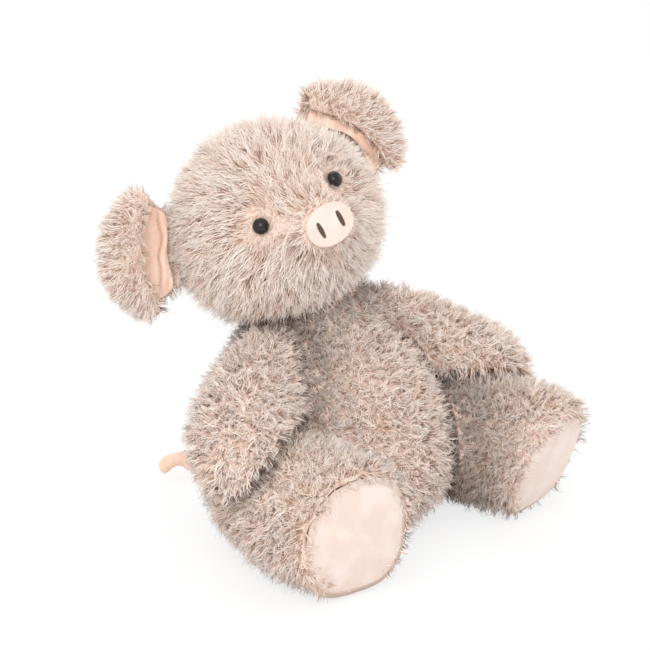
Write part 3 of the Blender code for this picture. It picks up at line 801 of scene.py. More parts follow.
@dataclass(frozen=True)
class PileStyle:
    """How one pile grows. Angles are in degrees from upright.

    Attributes:
        density: strands on each square millimetre.
        length: a strand's length where there is room.
        width: its width at the widest.
        lean_root: how far it leans at its root.
        lean_tip: how far it leans at its tip.
        stray: how far the tufts turn from the way that the pile lies.
        tuft: how far apart the tufts stand.
        gather: how far a strand is drawn to its tuft, from 0 to 1.
        bends: how many straight lengths make a strand.
        curl: how wide it curls, as a share of its length.
        turns: how many times it curls.
        droop: how much its tip hangs.
        crimp: how much its bends stray, as a share of its length.
        wisps: the share of strands that are thin and loose.
        wisp_length: how much longer they are.
        flatness: a strand's height over its width.
        clearance: how near to what stays bare a strand may stand.
        bare_reach: how far from there the pile is full again.
        bare_share: the length of the strands there.
        overhang: the least length of the strands that hang over what stays bare.
        calm: how much less the tufts turn there.
        hidden_share: the share of strands that stay where a neighbour covers them.
        lift: what turns the shading's normals up to the light.
        shortest: the least length of a strand.
        longest: the greatest.
        shade: how dark the pile is where it is shaded.
        shade_reach: how far from what shades it the pile is light again.
    """

    density: float
    length: float
    width: float
    lean_root: float
    lean_tip: float
    stray: float
    tuft: float
    gather: float
    bends: int = 2
    curl: float = 0.0
    turns: float = 0.8
    droop: float = 0.1
    crimp: float = 0.1
    wisps: float = 0.1
    wisp_length: float = 1.25
    flatness: float = 0.6
    clearance: float = 1 * MM
    bare_reach: float = 12 * MM
    bare_share: float = 1.0
    overhang: float = 0.0
    calm: float = 0.0
    hidden_share: float = 0.5
    lift: Offset = (0, 0, 0.2)
    shortest: float = 0.8
    longest: float = 1.15
    shade: float = 0.0
    shade_reach: float = 30 * MM


CURLY = PileStyle(
    density=0.80,
    length=8.6 * MM,
    width=0.70 * MM,
    lean_root=14,
    lean_tip=58,
    stray=80,
    tuft=2.1 * MM,
    gather=0.48,
    curl=0.26,
    droop=0.12,
    wisps=0.06,
)
SHAGGY = PileStyle(
    density=0.94,
    length=13.0 * MM,
    width=0.66 * MM,
    lean_root=16,
    lean_tip=54,
    stray=40,
    tuft=3.0 * MM,
    gather=0.32,
    crimp=0.08,
    shortest=0.75,
)


@dataclass(frozen=True)
class Strands:
    """Some strands: their paths, root normals and widths, and the tint and shade of each, from 0 to 1."""

    path: np.ndarray
    normal: np.ndarray
    width: np.ndarray
    tint: np.ndarray
    shade: np.ndarray

    def pick(self, chosen: np.ndarray) -> "Strands":
        """Some of the strands, by number or by mask."""
        return Strands(*(getattr(self, part.name)[chosen] for part in fields(self)))


@dataclass
class Pile:
    """The strands that stand on one stuffed form.

    Attributes:
        form: the stuffed form, finished before the pile grows.
        style: how the pile grows.
        comb: gives the way that the pile lies, from places and normals.
        seed: the seed of everything that varies.
        clear: the ovals that no strand crosses, each a frame, its half sizes and how high it reaches.
    """

    form: StuffedForm
    style: PileStyle
    comb: Comb
    seed: int
    clear: tuple[Oval, ...] = ()
    chance: np.random.Generator = field(init=False)

    MOST_TRIANGLES = 190_000
    FLOOR_GAP = 0.3 * MM
    FLOOR_SPREAD = 1.2 * MM
    LEAST_ROOM = 0.4 * MM
    ROOT_DEPTH = 0.4 * MM
    COVERED_REACH = 7 * MM
    LENGTHS = (0.78, 1.18)
    WIDTHS = (0.8, 1.2)
    STRAY = 0.10
    WISP_STRAY = 1.8
    WISP_GATHER = 0.2
    WISP_WIDTH = 0.45
    UNDERSIDE_LOSS = 0.45

    def __post_init__(self) -> None:
        """Seeds the pile's own chance."""
        self.chance = np.random.default_rng(self.seed)

    def roots(self, density: float) -> tuple[np.ndarray, ...]:
        """Spreads points over the form, evenly by area.

        Args:
            density: points per square metre.

        Returns:
            Their places, normals, room, and distances from what stays bare and from what shades them.
        """
        mesh = self.form.piece.data
        mesh.calc_loop_triangles()
        corners = np.empty(len(mesh.loop_triangles) * 3, np.int32)
        mesh.loop_triangles.foreach_get("vertices", corners)
        corners = corners.reshape(-1, 3)
        places = Workshop.points(self.form.piece)
        normals = Workshop.normals(self.form.piece)
        a, b, c = (places[corners[:, i]] for i in range(3))
        area = np.linalg.norm(np.cross(b - a, c - a), axis=1) / 2
        total = np.cumsum(area)
        count = int(total[-1] * density)
        chosen = np.searchsorted(total, (np.arange(count) + self.chance.random(count)) / count * total[-1])
        chosen = corners[np.minimum(chosen, len(corners) - 1)]
        u, v = self.chance.random((2, count))
        over = u + v > 1
        u[over], v[over] = 1 - u[over], 1 - v[over]
        shares = np.stack([1 - u - v, u, v], 1)
        place = np.einsum("ij,ijk->ik", shares, places[chosen])
        normal = unit(np.einsum("ij,ijk->ik", shares, normals[chosen]))
        room = np.einsum("ij,ij->i", shares, self.form.room[chosen])
        bare = np.einsum("ij,ij->i", shares, self.form.bare_gap[chosen])
        gap = np.einsum("ij,ij->i", shares, self.form.shadow_gap[chosen])
        return place, normal, room, bare, gap

    def grow(self, finish: bpy.types.Material) -> list[bpy.types.Object]:
        """Grows the pile and makes its pieces.

        Args:
            finish: the pile's material.

        Returns:
            The pieces, each of at most a set number of triangles.
        """
        style, chance = self.style, self.chance
        place, normal, share, gap = self.settle()
        middle, middle_normal, _, middle_bare, _ = self.roots(1 / style.tuft**2)
        tuft = self.nearest(place, middle)
        steps = np.linspace(0, 1, style.bends + 1) ** 0.75
        calm = style.calm * (1 - smooth_step(middle_bare, style.clearance, style.bare_reach))
        shape = self.tuft_shapes(middle, middle_normal, steps, 1 - calm)
        count = len(place)
        wisp = chance.random(count) < style.wisps
        length = style.length * share * chance.uniform(*self.LENGTHS, count) * np.where(wisp, style.wisp_length, 1)
        lay = shape[tuft] * length[:, None, None]
        stray = chance.normal(0, self.STRAY, (count, 1, 3)) * (steps**1.5)[None, :, None] * length[:, None, None]
        own = place[:, None] + lay + stray * np.where(wisp, self.WISP_STRAY, 1)[:, None, None]
        own[:, 1:-1] += chance.normal(0, style.crimp, (count, style.bends - 1, 3)) * length[:, None, None]
        shared = middle[tuft][:, None] + lay
        pull = style.gather * (steps**1.3)[None, :, None] * np.where(wisp, self.WISP_GATHER, 1)[:, None, None]
        path = own * (1 - pull) + shared * pull
        path[:, 0] -= normal * self.ROOT_DEPTH
        low = self.FLOOR_GAP + chance.uniform(0, self.FLOOR_SPREAD, (count, 1))
        path[:, :, 2] = np.maximum(path[:, :, 2], low)
        width = style.width * (0.55 + 0.45 * share) * chance.uniform(*self.WIDTHS, count)
        width *= np.where(wisp, self.WISP_WIDTH, 1)
        tint = 0.6 * chance.random(len(middle))[tuft] + 0.4 * chance.random(count)
        # Painted shade: strands close to the parts that would shade them get a darker shade mark.
        shade = style.shade * (1 - smooth_step(gap, 1 * MM, style.shade_reach))
        strands = Strands(path, normal, width, tint, shade)
        return self.pieces(strands.pick(self.free(path)), steps, finish)

    def settle(self) -> tuple[np.ndarray, ...]:
        """Chooses where strands stand: fewer where it is crowded, under the form, or where nobody sees them.

        Returns:
            Their places, normals, shares of the full length, and distances from what shades them.
        """
        style = self.style
        place, normal, room, bare, gap = self.roots(style.density * PER_SQUARE_MM)
        share = np.clip(room / self.form.depth, style.shortest, style.longest)
        crowd = np.clip(share * 1.4, 0.4, 1)
        near_bare = 1 - smooth_step(bare, style.clearance, style.bare_reach)
        share = np.maximum(share, style.overhang * near_bare) * (1 - (1 - style.bare_share) * near_bare)
        under = 1 - self.UNDERSIDE_LOSS * smooth_step(-normal[:, 2], 0.75, 0.95)
        under = under * np.where(self.covered(place, normal), style.hidden_share, 1)
        keep = self.chance.random(len(room)) < np.maximum(crowd, near_bare) * under
        keep &= (bare > style.clearance) & ((room > self.LEAST_ROOM) | (style.overhang * near_bare > 0.3))
        return place[keep], normal[keep], share[keep], gap[keep]

    def covered(self, places: np.ndarray, normals: np.ndarray) -> np.ndarray:
        """Which roots look straight at a neighbour that is close by."""
        if not self.form.near:
            return np.zeros(len(places), bool)
        tree = Workshop.tree_of(self.form.near)
        hits = (tree.ray_cast(Vector(p), Vector(n), self.COVERED_REACH)[0] for p, n in zip(places, normals))
        return np.array([hit is not None for hit in hits])

    def free(self, path: np.ndarray) -> np.ndarray:
        """Which strands stay out of the clear ovals."""
        kept = np.ones(len(path), bool)
        for place, half_x, half_y, high in self.clear:
            turn = np.array(place.to_3x3())
            local = (path - np.array(place.translation)) @ turn
            inside = (local[..., 0] / half_x) ** 2 + (local[..., 1] / half_y) ** 2 < 1
            kept &= ~(inside & (local[..., 2] > -2 * MM) & (local[..., 2] < high)).any(1)
        return kept

    @staticmethod
    def nearest(places: np.ndarray, centres: np.ndarray) -> np.ndarray:
        """The number of the nearest centre to each place."""
        tree = KDTree(len(centres))
        for i, centre in enumerate(centres):
            tree.insert(Vector(centre), i)
        tree.balance()
        return np.array([tree.find(Vector(place))[1] for place in places])

    def tuft_shapes(self, places: np.ndarray, normals: np.ndarray, steps: np.ndarray, wild: np.ndarray) -> np.ndarray:
        """The path that the strands of each tuft follow, one long, from a root at zero.

        Args:
            places: the tufts' middles.
            normals: their normals.
            steps: the shares of the length at which a strand bends.
            wild: how freely each tuft strays, from 0 to 1.

        Returns:
            Tufts by steps by three.
        """
        style, chance, count = self.style, self.chance, len(places)
        way = self.comb(places, normals)
        way = unit(way - normals * np.sum(way * normals, 1, keepdims=True) + 1e-9)
        side = np.cross(normals, way)
        turn = np.radians(chance.normal(0, style.stray, count) * wild)[:, None]
        way, side = way * np.cos(turn) + side * np.sin(turn), side * np.cos(turn) - way * np.sin(turn)
        lean = np.radians(chance.normal(0, style.stray * 0.3, count))
        spin = chance.uniform(0, 2 * math.pi, count)
        hand = np.where(chance.random(count) < 0.5, -1, 1)
        path = np.zeros((count, len(steps), 3))
        for i in range(1, len(steps)):
            at = (steps[i] + steps[i - 1]) / 2
            angle = np.clip(np.radians(style.lean_root + (style.lean_tip - style.lean_root) * at) + lean, 0, 1.7)
            ahead = normals * np.cos(angle)[:, None] + way * np.sin(angle)[:, None]
            ahead = ahead + np.array([0, 0, -style.droop * at])
            path[:, i] = path[:, i - 1] + unit(ahead) * (steps[i] - steps[i - 1])
        if style.curl:
            phase = spin[:, None] + hand[:, None] * steps[None] * style.turns * 2 * math.pi
            swell = style.curl * steps[None] ** 0.7
            round_up = (np.cos(phase) - np.cos(spin)[:, None])[..., None] * side[:, None]
            across = (np.sin(phase) - np.sin(spin)[:, None])[..., None] * (normals * 0.7 + way * 0.5)[:, None]
            path += (round_up + across) * swell[..., None]
        return path

    def pieces(self, strands: Strands, steps: np.ndarray, finish: bpy.types.Material) -> list[bpy.types.Object]:
        """Turns paths into closed three-sided strands.

        Args:
            strands: every strand of the pile.
            steps: the shares of the length at which a strand bends.
            finish: the pile's material.

        Returns:
            The pieces.
        """
        faces_each = 6 * (self.style.bends - 1) + 4
        most = self.MOST_TRIANGLES // faces_each
        parts = max(1, math.ceil(len(strands.path) / most))
        order = np.argsort(strands.path[:, 0, 2], kind="stable")
        made = []
        for number, chosen in enumerate(np.array_split(order, parts), 1):
            name = self.form.name.replace("_cover", "_pile") + (f"_{number}" if parts > 1 else "")
            made.append(self.piece(name, strands.pick(chosen), steps))
            made[-1].data.materials.append(finish)
        return made

    def piece(self, name: str, strands: Strands, steps: np.ndarray) -> bpy.types.Object:
        """Makes one piece of strands.

        Args:
            name: the piece's name.
            strands: its strands.
            steps: the shares of the length at which a strand bends.

        Returns:
            The piece.
        """
        path, normal = strands.path, strands.normal
        facing = 0.55 * normal + np.array(self.style.lift)
        count, rings = len(path), self.style.bends
        ahead = unit(np.gradient(path, axis=1))
        across = unit(np.cross(ahead, normal[:, None]))
        over = np.cross(across, ahead)
        taper = (0.72 + 0.5 * steps[:-1]) * (1 - steps[:-1]) ** 0.65 + 0.12 * (1 - steps[:-1])
        half = strands.width[:, None] / 2 * taper[None]
        each = rings * 3 + 1
        places = np.empty((count, each, 3))
        shading = np.empty((count, each, 3))
        for corner in range(3):
            angle = math.radians(90 + 120 * corner)
            spoke = across[:, :rings] * math.cos(angle) + over[:, :rings] * math.sin(angle) * self.style.flatness
            places[:, corner : each - 1 : 3] = path[:, :rings] + spoke * half[..., None]
            shading[:, corner : each - 1 : 3] = unit(0.6 * unit(spoke) + facing[:, None])
        places[:, -1] = path[:, -1]
        shading[:, -1] = unit(facing)
        places[:, :, 2] = np.maximum(places[:, :, 2], self.FLOOR_GAP)
        faces = [(0, 1, 2)]
        for ring in range(rings - 1):
            for corner in range(3):
                a, b = ring * 3 + corner, ring * 3 + (corner + 1) % 3
                faces += [(a, b + 3, b), (a, a + 3, b + 3)]
        last = (rings - 1) * 3
        faces += [(last + (i + 1) % 3, last + i, each - 1) for i in range(3)]
        corners = (np.array(faces)[None] + np.arange(count)[:, None, None] * each).reshape(-1, 3)
        mesh = bpy.data.meshes.new(name)
        mesh.vertices.add(count * each)
        mesh.vertices.foreach_set("co", places.ravel())
        mesh.loops.add(corners.size)
        mesh.loops.foreach_set("vertex_index", corners.ravel().astype(np.int32))
        mesh.polygons.add(len(corners))
        mesh.polygons.foreach_set("loop_start", np.arange(0, corners.size, 3, dtype=np.int32))
        mesh.polygons.foreach_set("use_smooth", np.ones(len(corners), bool))
        mesh.update(calc_edges=True)
        mesh.normals_split_custom_set_from_vertices(shading.reshape(-1, 3))
        piece = bpy.data.objects.new(name, mesh)
        bpy.context.scene.collection.objects.link(piece)
        along = np.append(np.repeat(steps[:-1], 3), 1.0)
        Workshop.mark(piece, "along", np.tile(along, count))
        Workshop.mark(piece, "tint", np.repeat(strands.tint, each))
        Workshop.mark(piece, "shade", np.repeat(strands.shade, each))
        return piece


class Side(Enum):
    """The pig's own two sides."""

    RIGHT = "right"
    LEFT = "left"


def dress(pile: Pile, body: str, finishes: Finishes) -> None:
    """Builds a pile's stuffed form, then the pile, and hangs both on their body.

    Args:
        pile: the pile, with its form.
        body: the body that both ride on.
        finishes: the materials.
    """
    hang(pile.form.build(finishes.backing), pile.form.nodes[0], body)
    for piece in pile.grow(finishes.pile):
        hang(piece, "", body)


@dataclass
class Torso:
    """The pear-shaped torso."""

    style: PileStyle = replace(CURLY, length=8.4 * MM, width=0.72 * MM, stray=95, shade=0.9, shade_reach=38 * MM)
    seed: int = 11

    @staticmethod
    def comb(places: np.ndarray, normals: np.ndarray) -> np.ndarray:
        """The pile lies down and a little outwards."""
        out = places * np.array([1, 1, 0])
        return unit(out) * 0.3 + np.array([0, 0, -1.0])

    def build(self, finishes: Finishes) -> None:
        """Builds the torso."""
        near = ("head_skin", "right_arm_skin", "left_arm_skin", "right_leg_skin", "left_leg_skin")
        nodes = ("torso_skin", "torso_stuffing", "bean_pouch")
        form = StuffedForm("torso_cover", nodes, near, ("tail",), shadow=("head_skin", "right_arm_skin"))
        dress(Pile(form, self.style, self.comb, self.seed), "torso", finishes)


@dataclass
class Head:
    """The head: its fur, eyes and snout."""

    style: PileStyle = replace(SHAGGY, droop=0.3, bare_reach=18 * MM, bare_share=0.42, hidden_share=0.8)
    seed: int = 23
    bulge: Bulge = ((-0.023, 0.068, 0.216), 0.036, 4.5 * MM)
    eye_radius: float = 4.9 * MM
    eye_dome: float = 4.2 * MM
    eye_out: float = 1.8 * MM
    eye_rim: float = 1.2 * MM
    shank_radius: float = 1.6 * MM
    shank_length: float = 10 * MM
    snout_skirt: float = 6 * MM
    clear_height: float = 30 * MM
    nostril_fullness: float = 1.25
    nostril_threads: int = 13
    thread_thickness: float = 0.42 * MM
    centre: Vector = field(init=False)
    snout: Matrix = field(init=False)
    snout_half: Vector = field(init=False)
    eyes: dict[Side, Matrix] = field(init=False)

    def build(self, finishes: Finishes) -> None:
        """Builds the head."""
        self.centre = Workshop.centre("head_skin")
        self.snout, self.snout_half = Workshop.plate_frame("snout_pad", self.centre)
        self.eyes = {side: self.eye_place(side) for side in Side}
        bare = ("snout_pad", "right_eye", "left_eye")
        near = ("torso_skin", "neck_stuffing", "right_ear_back", "left_ear_back")
        form = StuffedForm("head_cover", ("head_skin", "head_stuffing"), near, bare, bulges=(self.bulge,))
        dress(Pile(form, self.style, self.comb, self.seed, self.clear_ovals()), "head", finishes)
        self.build_snout(finishes)
        for side in Side:
            self.build_eye(side, finishes)
            self.build_nostril(side, finishes)

    def clear_ovals(self) -> tuple[Oval, ...]:
        """What the fur leaves free: the snout, each eye, and the hollow between the two."""
        clear = [(self.snout, self.snout_half.x * 0.97, self.snout_half.y * 0.97, self.clear_height)]
        for eye in self.eyes.values():
            over = eye @ Matrix.Translation((0, 0, 4 * MM))
            inner = Matrix.Translation((self.snout.translation - eye.translation).normalized() * 8 * MM) @ over
            for place, times in ((eye, 1.05), (over, 2.1), (inner, 2.0)):
                clear.append((place, self.eye_radius * times, self.eye_radius * times, self.clear_height))
        return tuple(clear)

    def comb(self, places: np.ndarray, normals: np.ndarray) -> np.ndarray:
        """The pile lies away from the snout and the eyes, and hangs a little."""
        away = unit(places - np.array(self.snout.translation))
        way = away + np.array([0, 0, -0.35])
        for eye in self.eyes.values():
            apart = places - np.array(eye.translation)
            far = np.linalg.norm(apart, axis=1, keepdims=True)
            way = way + apart / np.maximum(far, 1e-6) * 3.5 * np.exp(-((far / (12 * MM)) ** 2))
        return way

    def eye_place(self, side: Side) -> Matrix:
        """The eye's place: its Z runs out along its shank, and its origin is under the dome."""
        eye, washer = (Workshop.corners(f"{side.value}_{part}") for part in ("eye", "eye_washer"))
        axis = Vector(eye.mean(0) - washer.mean(0)).normalized()
        along = (eye - washer.mean(0)) @ np.array(axis)
        centre = Vector(washer.mean(0)) + axis * (along.max() - self.eye_dome + self.eye_out)
        return Matrix.Translation(centre) @ axis.to_track_quat("Z", "Y").to_matrix().to_4x4()

    def build_eye(self, side: Side, finishes: Finishes) -> None:
        """Builds one eye: a polished dome with a rolled rim on its shank.

        Args:
            side: the pig's side.
            finishes: the materials.
        """
        bpy.ops.object.select_all(action="DESELECT")
        bpy.ops.mesh.primitive_uv_sphere_add(segments=48, ring_count=24, radius=1)
        eye = bpy.context.object
        eye.name = eye.data.name = f"{side.value}_eye_bead"
        places = Workshop.points(eye)
        above = places[:, 2] > 0
        places[above] *= np.array([self.eye_radius, self.eye_radius, self.eye_dome])
        below = ~above
        drop = -places[below, 2]
        reach = np.linalg.norm(places[below, :2], axis=1)
        rim = drop < 0.5
        wide = np.where(rim, self.eye_radius * reach, self.shank_radius * np.minimum(1, reach * 1.6))
        deep = np.where(rim, self.eye_rim * drop * 2, self.eye_rim + self.shank_length * (drop - 0.5) * 2)
        places[below, :2] *= (wide / np.maximum(reach, 1e-9))[:, None]
        places[below, 2] = -deep
        Workshop.move(eye, places)
        eye.data.transform(self.eyes[side])
        Workshop.round_off(eye, finishes.eye)
        hang(eye, f"{side.value}_eye", "head")

    def build_snout(self, finishes: Finishes) -> None:
        """Builds the suede snout pad with a skirt that goes back into the fur."""
        patch = SuedePatch(
            "snout_patch", self.snout, self.snout_half, square=(2.2, 2.2), crown=0.4 * MM, skirt=self.snout_skirt,
            flare=-0.03, dents=0.3 * MM
        )
        hang(patch.build(finishes.suede), "snout_pad", "head")

    def build_nostril(self, side: Side, finishes: Finishes) -> None:
        """Builds one nostril from threads laid side by side across it.

        Args:
            side: the pig's side.
            finishes: the materials.
        """
        place, half = Workshop.plate_frame(f"{side.value}_nostril", self.centre)
        count = self.nostril_threads
        bpy.ops.object.select_all(action="DESELECT")
        bpy.ops.mesh.primitive_cylinder_add(vertices=8, radius=1, depth=2)
        thread = bpy.context.object
        thread.name = thread.data.name = f"{side.value}_nostril_stitches"
        bpy.ops.object.mode_set(mode="EDIT")
        for height in (0.5, 0, -0.5):
            bpy.ops.mesh.select_all(action="SELECT")
            bpy.ops.mesh.bisect(plane_co=(0, 0, height), plane_no=(0, 0, 1))
        bpy.ops.object.mode_set(mode="OBJECT")
        bm = bmesh.new()
        for number in range(count):
            at = -1 + 2 * (number + 0.5) / count
            wide = half.y * math.sqrt(1 - (0.93 * at) ** 2) * (1 + 0.06 * math.sin(number * 2.4))
            first = len(bm.verts)
            bm.from_mesh(thread.data)
            bm.verts.ensure_lookup_table()
            for vertex in bm.verts[first:]:
                along = vertex.co.z
                lift = half.z * (1.15 - along**2 * 1.7)
                vertex.co = Vector((
                    at * half.x + vertex.co.x * half.x / count * 1.08,
                    along * wide * self.nostril_fullness,
                    lift + vertex.co.y * self.thread_thickness,
                ))
        bmesh.ops.recalc_face_normals(bm, faces=bm.faces)
        bm.to_mesh(thread.data)
        bm.free()
        Workshop.modify(thread, "SUBSURF", levels=1, render_levels=1)
        thread.data.transform(place)
        Workshop.round_off(thread, finishes.thread)
        hang(thread, f"{side.value}_nostril", "head")


@dataclass
class SuedePatch:
    """A crowned oval patch of suede with a rounded rim.

    Attributes:
        name: the piece's name.
        place: its place, with its front along Z.
        half: half the sizes of the CAD plate.
        square: how square its outline is above and below, 2 for an oval.
        crown: how far its middle stands over its rim.
        skirt: how far its edge goes back.
        flare: how much wider it is behind its edge.
        dents: how deep its soft dents are.
    """

    name: str
    place: Matrix
    half: Vector
    square: tuple[float, float]
    crown: float
    skirt: float
    flare: float
    dents: float

    def build(self, finish: bpy.types.Material) -> bpy.types.Object:
        """Makes the patch from a ball: its front flattened to a crown, its back drawn out to a skirt."""
        bpy.ops.object.select_all(action="DESELECT")
        bpy.ops.mesh.primitive_uv_sphere_add(segments=96, ring_count=48, radius=1)
        patch = bpy.context.object
        patch.name = patch.data.name = self.name
        places = Workshop.points(patch)
        reach = np.minimum(np.linalg.norm(places[:, :2], axis=1), 1)
        front = places[:, 2] >= 0
        turn = np.arctan2(places[:, 1], places[:, 0])
        above, below = self.square
        power = above + (below - above) * smooth_step(-np.sin(turn), -0.3, 0.6)
        corner = (np.abs(np.cos(turn)) ** power + np.abs(np.sin(turn)) ** power) ** (-1 / power)
        height = np.where(front, self.half.z + self.crown * (1 - reach**2), 0)
        round_rim = (1 - reach**9) ** (1 / 3)
        z = np.where(front, height * round_rim, -self.skirt * (1 - reach**12) ** 0.5)
        wide = np.where(front, 1.0, 1.0 + self.flare) * corner
        Workshop.move(patch, np.stack([places[:, 0] * self.half.x * wide, places[:, 1] * self.half.y * wide, z], 1))
        # Painted shade: the rim's darkness is strongest on the patch's lower side.
        shaded_low_side = smooth_step(-np.sin(turn), 0.3, 0.9)
        Workshop.mark(patch, "rim", smooth_step(reach, 0.94, 0.99) * (0.35 + 0.65 * shaded_low_side))
        Workshop.cloudy(patch, 22 * MM, self.dents)
        patch.data.transform(self.place)
        Workshop.round_off(patch, finish)
        return patch


@dataclass
class Ear:
    """One ear: a plush flap folded forward over its satin lining."""

    side: Side
    seed: int
    style: PileStyle = replace(
        SHAGGY,
        density=1.02,
        length=8.8 * MM,
        width=0.62 * MM,
        stray=36,
        tuft=2.6 * MM,
        gather=0.25,
        clearance=0.6 * MM,
        bare_reach=5 * MM,
        bare_share=0.7,
        overhang=0.6,
        longest=0.95,
        lift=(0, -0.35, 0.32),
    )
    spread: Offset = (0, 0, 0)
    cut: tuple[float, float] = (56.5 * MM, 62 * MM)
    crease_out: float = 6.5 * MM
    crease_width: float = 0.8 * MM
    ridge_out: float = 2.6 * MM
    ridge_width: float = 1.7 * MM
    ridge_height: float = 1.2 * MM

    def comb(self, places: np.ndarray, normals: np.ndarray) -> np.ndarray:
        """The pile lies away from the head."""
        return unit(places - np.array(Workshop.centre("head_skin"))) + np.array([0, 0, -0.3])

    def build(self, finishes: Finishes) -> None:
        """Builds the ear."""
        side = self.side.value
        back, lining = f"{side}_ear_back", f"{side}_ear_lining"
        form = StuffedForm(
            f"{side}_ear_cover", (back,), (), (lining,), voxel=1.6 * MM, depth=2.3 * MM, bare_depth=0.3 * MM,
            bare_slope=0.5, puff=0, smooth=False
        )
        place, half = Workshop.plate_frame(lining, Workshop.centre(lining) + Vector((0, 0.05, 0)))
        clear = (place, half.x * 0.93, half.y * 0.86, 4 * MM)
        dress(Pile(form, self.style, self.comb, self.seed, (clear,)), f"{side}_ear", finishes)
        self.build_lining(finishes)

    def build_lining(self, finishes: Finishes) -> None:
        """Builds the satin lining with its creases."""
        side = self.side.value
        lining = Workshop.copy_nodes((f"{side}_ear_lining",), f"{side}_ear_satin")
        Workshop.pick(lining)
        bpy.ops.object.mode_set(mode="EDIT")
        bpy.ops.mesh.select_all(action="SELECT")
        bpy.ops.mesh.tris_convert_to_quads(face_threshold=math.radians(60), shape_threshold=math.radians(60))
        bpy.ops.object.mode_set(mode="OBJECT")
        Workshop.modify(lining, "SUBSURF", levels=2, render_levels=2)
        Workshop.cloudy(lining, 12 * MM, 0.6 * MM)
        self.crease(lining)
        Workshop.round_off(lining, finishes.satin)
        hang(lining, f"{side}_ear_lining", f"{side}_ear")

    def crease(self, lining: bpy.types.Object) -> None:
        """Presses a long crease into the lining, marks painted shade along it, and spreads the lining over its seam.

        Args:
            lining: the lining's mesh.
        """
        places = Workshop.points(lining)
        middle = places.mean(0)
        _, _, ways = np.linalg.svd(places - middle, full_matrices=False)
        seam = ways[0]
        out = middle - np.array(Workshop.centre("head_skin"))
        out = unit(out - seam * np.dot(out, seam))
        reach = (places - middle) @ out
        along = (places - middle) @ seam
        wander = 1.6 * MM * np.sin(along / (9 * MM)) + 0.7 * MM * np.sin(along / (3.1 * MM) + 1)
        off = reach - reach.min() - self.crease_out - wander
        fade = 1 - smooth_step(np.abs(along), 0.6 * np.abs(along).max(), 0.95 * np.abs(along).max())
        ridge = np.exp(-(((np.abs(off) - self.ridge_out) / self.ridge_width) ** 2)) * fade
        near_head = 1 - smooth_step(reach - reach.min(), 0, 0.7 * np.ptp(reach))
        moved = places - np.array([0, 1.0, 0]) * (ridge * self.ridge_height)[:, None]
        Workshop.move(lining, moved + np.array(self.spread) * near_head[:, None])
        # Painted shade: the crease mark darkens the satin along the fold.
        Workshop.mark(lining, "crease", np.exp(-((off / self.crease_width) ** 2)) * fade)


@dataclass
class Arm:
    """One arm, from its ball in the shoulder to its paw."""

    side: Side
    seed: int
    bulge: Bulge
    style: PileStyle = replace(
        CURLY, density=0.90, stray=85, droop=0.35, shortest=0.95, shade=0.6, shade_reach=12 * MM
    )

    def comb(self, places: np.ndarray, normals: np.ndarray) -> np.ndarray:
        """The pile lies towards the paw and down."""
        low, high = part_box(f"{self.side.value}_arm_skin")
        outer = low.x if self.side is Side.RIGHT else high.x
        way = np.array([outer * 0.6, -0.03, -0.06])
        return way / np.linalg.norm(way) + np.array([0, 0, -0.4]) + np.zeros_like(places)

    def build(self, finishes: Finishes) -> None:
        """Builds the arm."""
        side = self.side.value
        near = ("torso_skin", "head_skin", f"{side}_leg_skin")
        nodes = (f"{side}_arm_skin", f"{side}_arm_stuffing")
        form = StuffedForm(f"{side}_arm_cover", nodes, near, bulges=(self.bulge,), shadow=("torso_skin",))
        dress(Pile(form, self.style, self.comb, self.seed), f"{side}_arm", finishes)


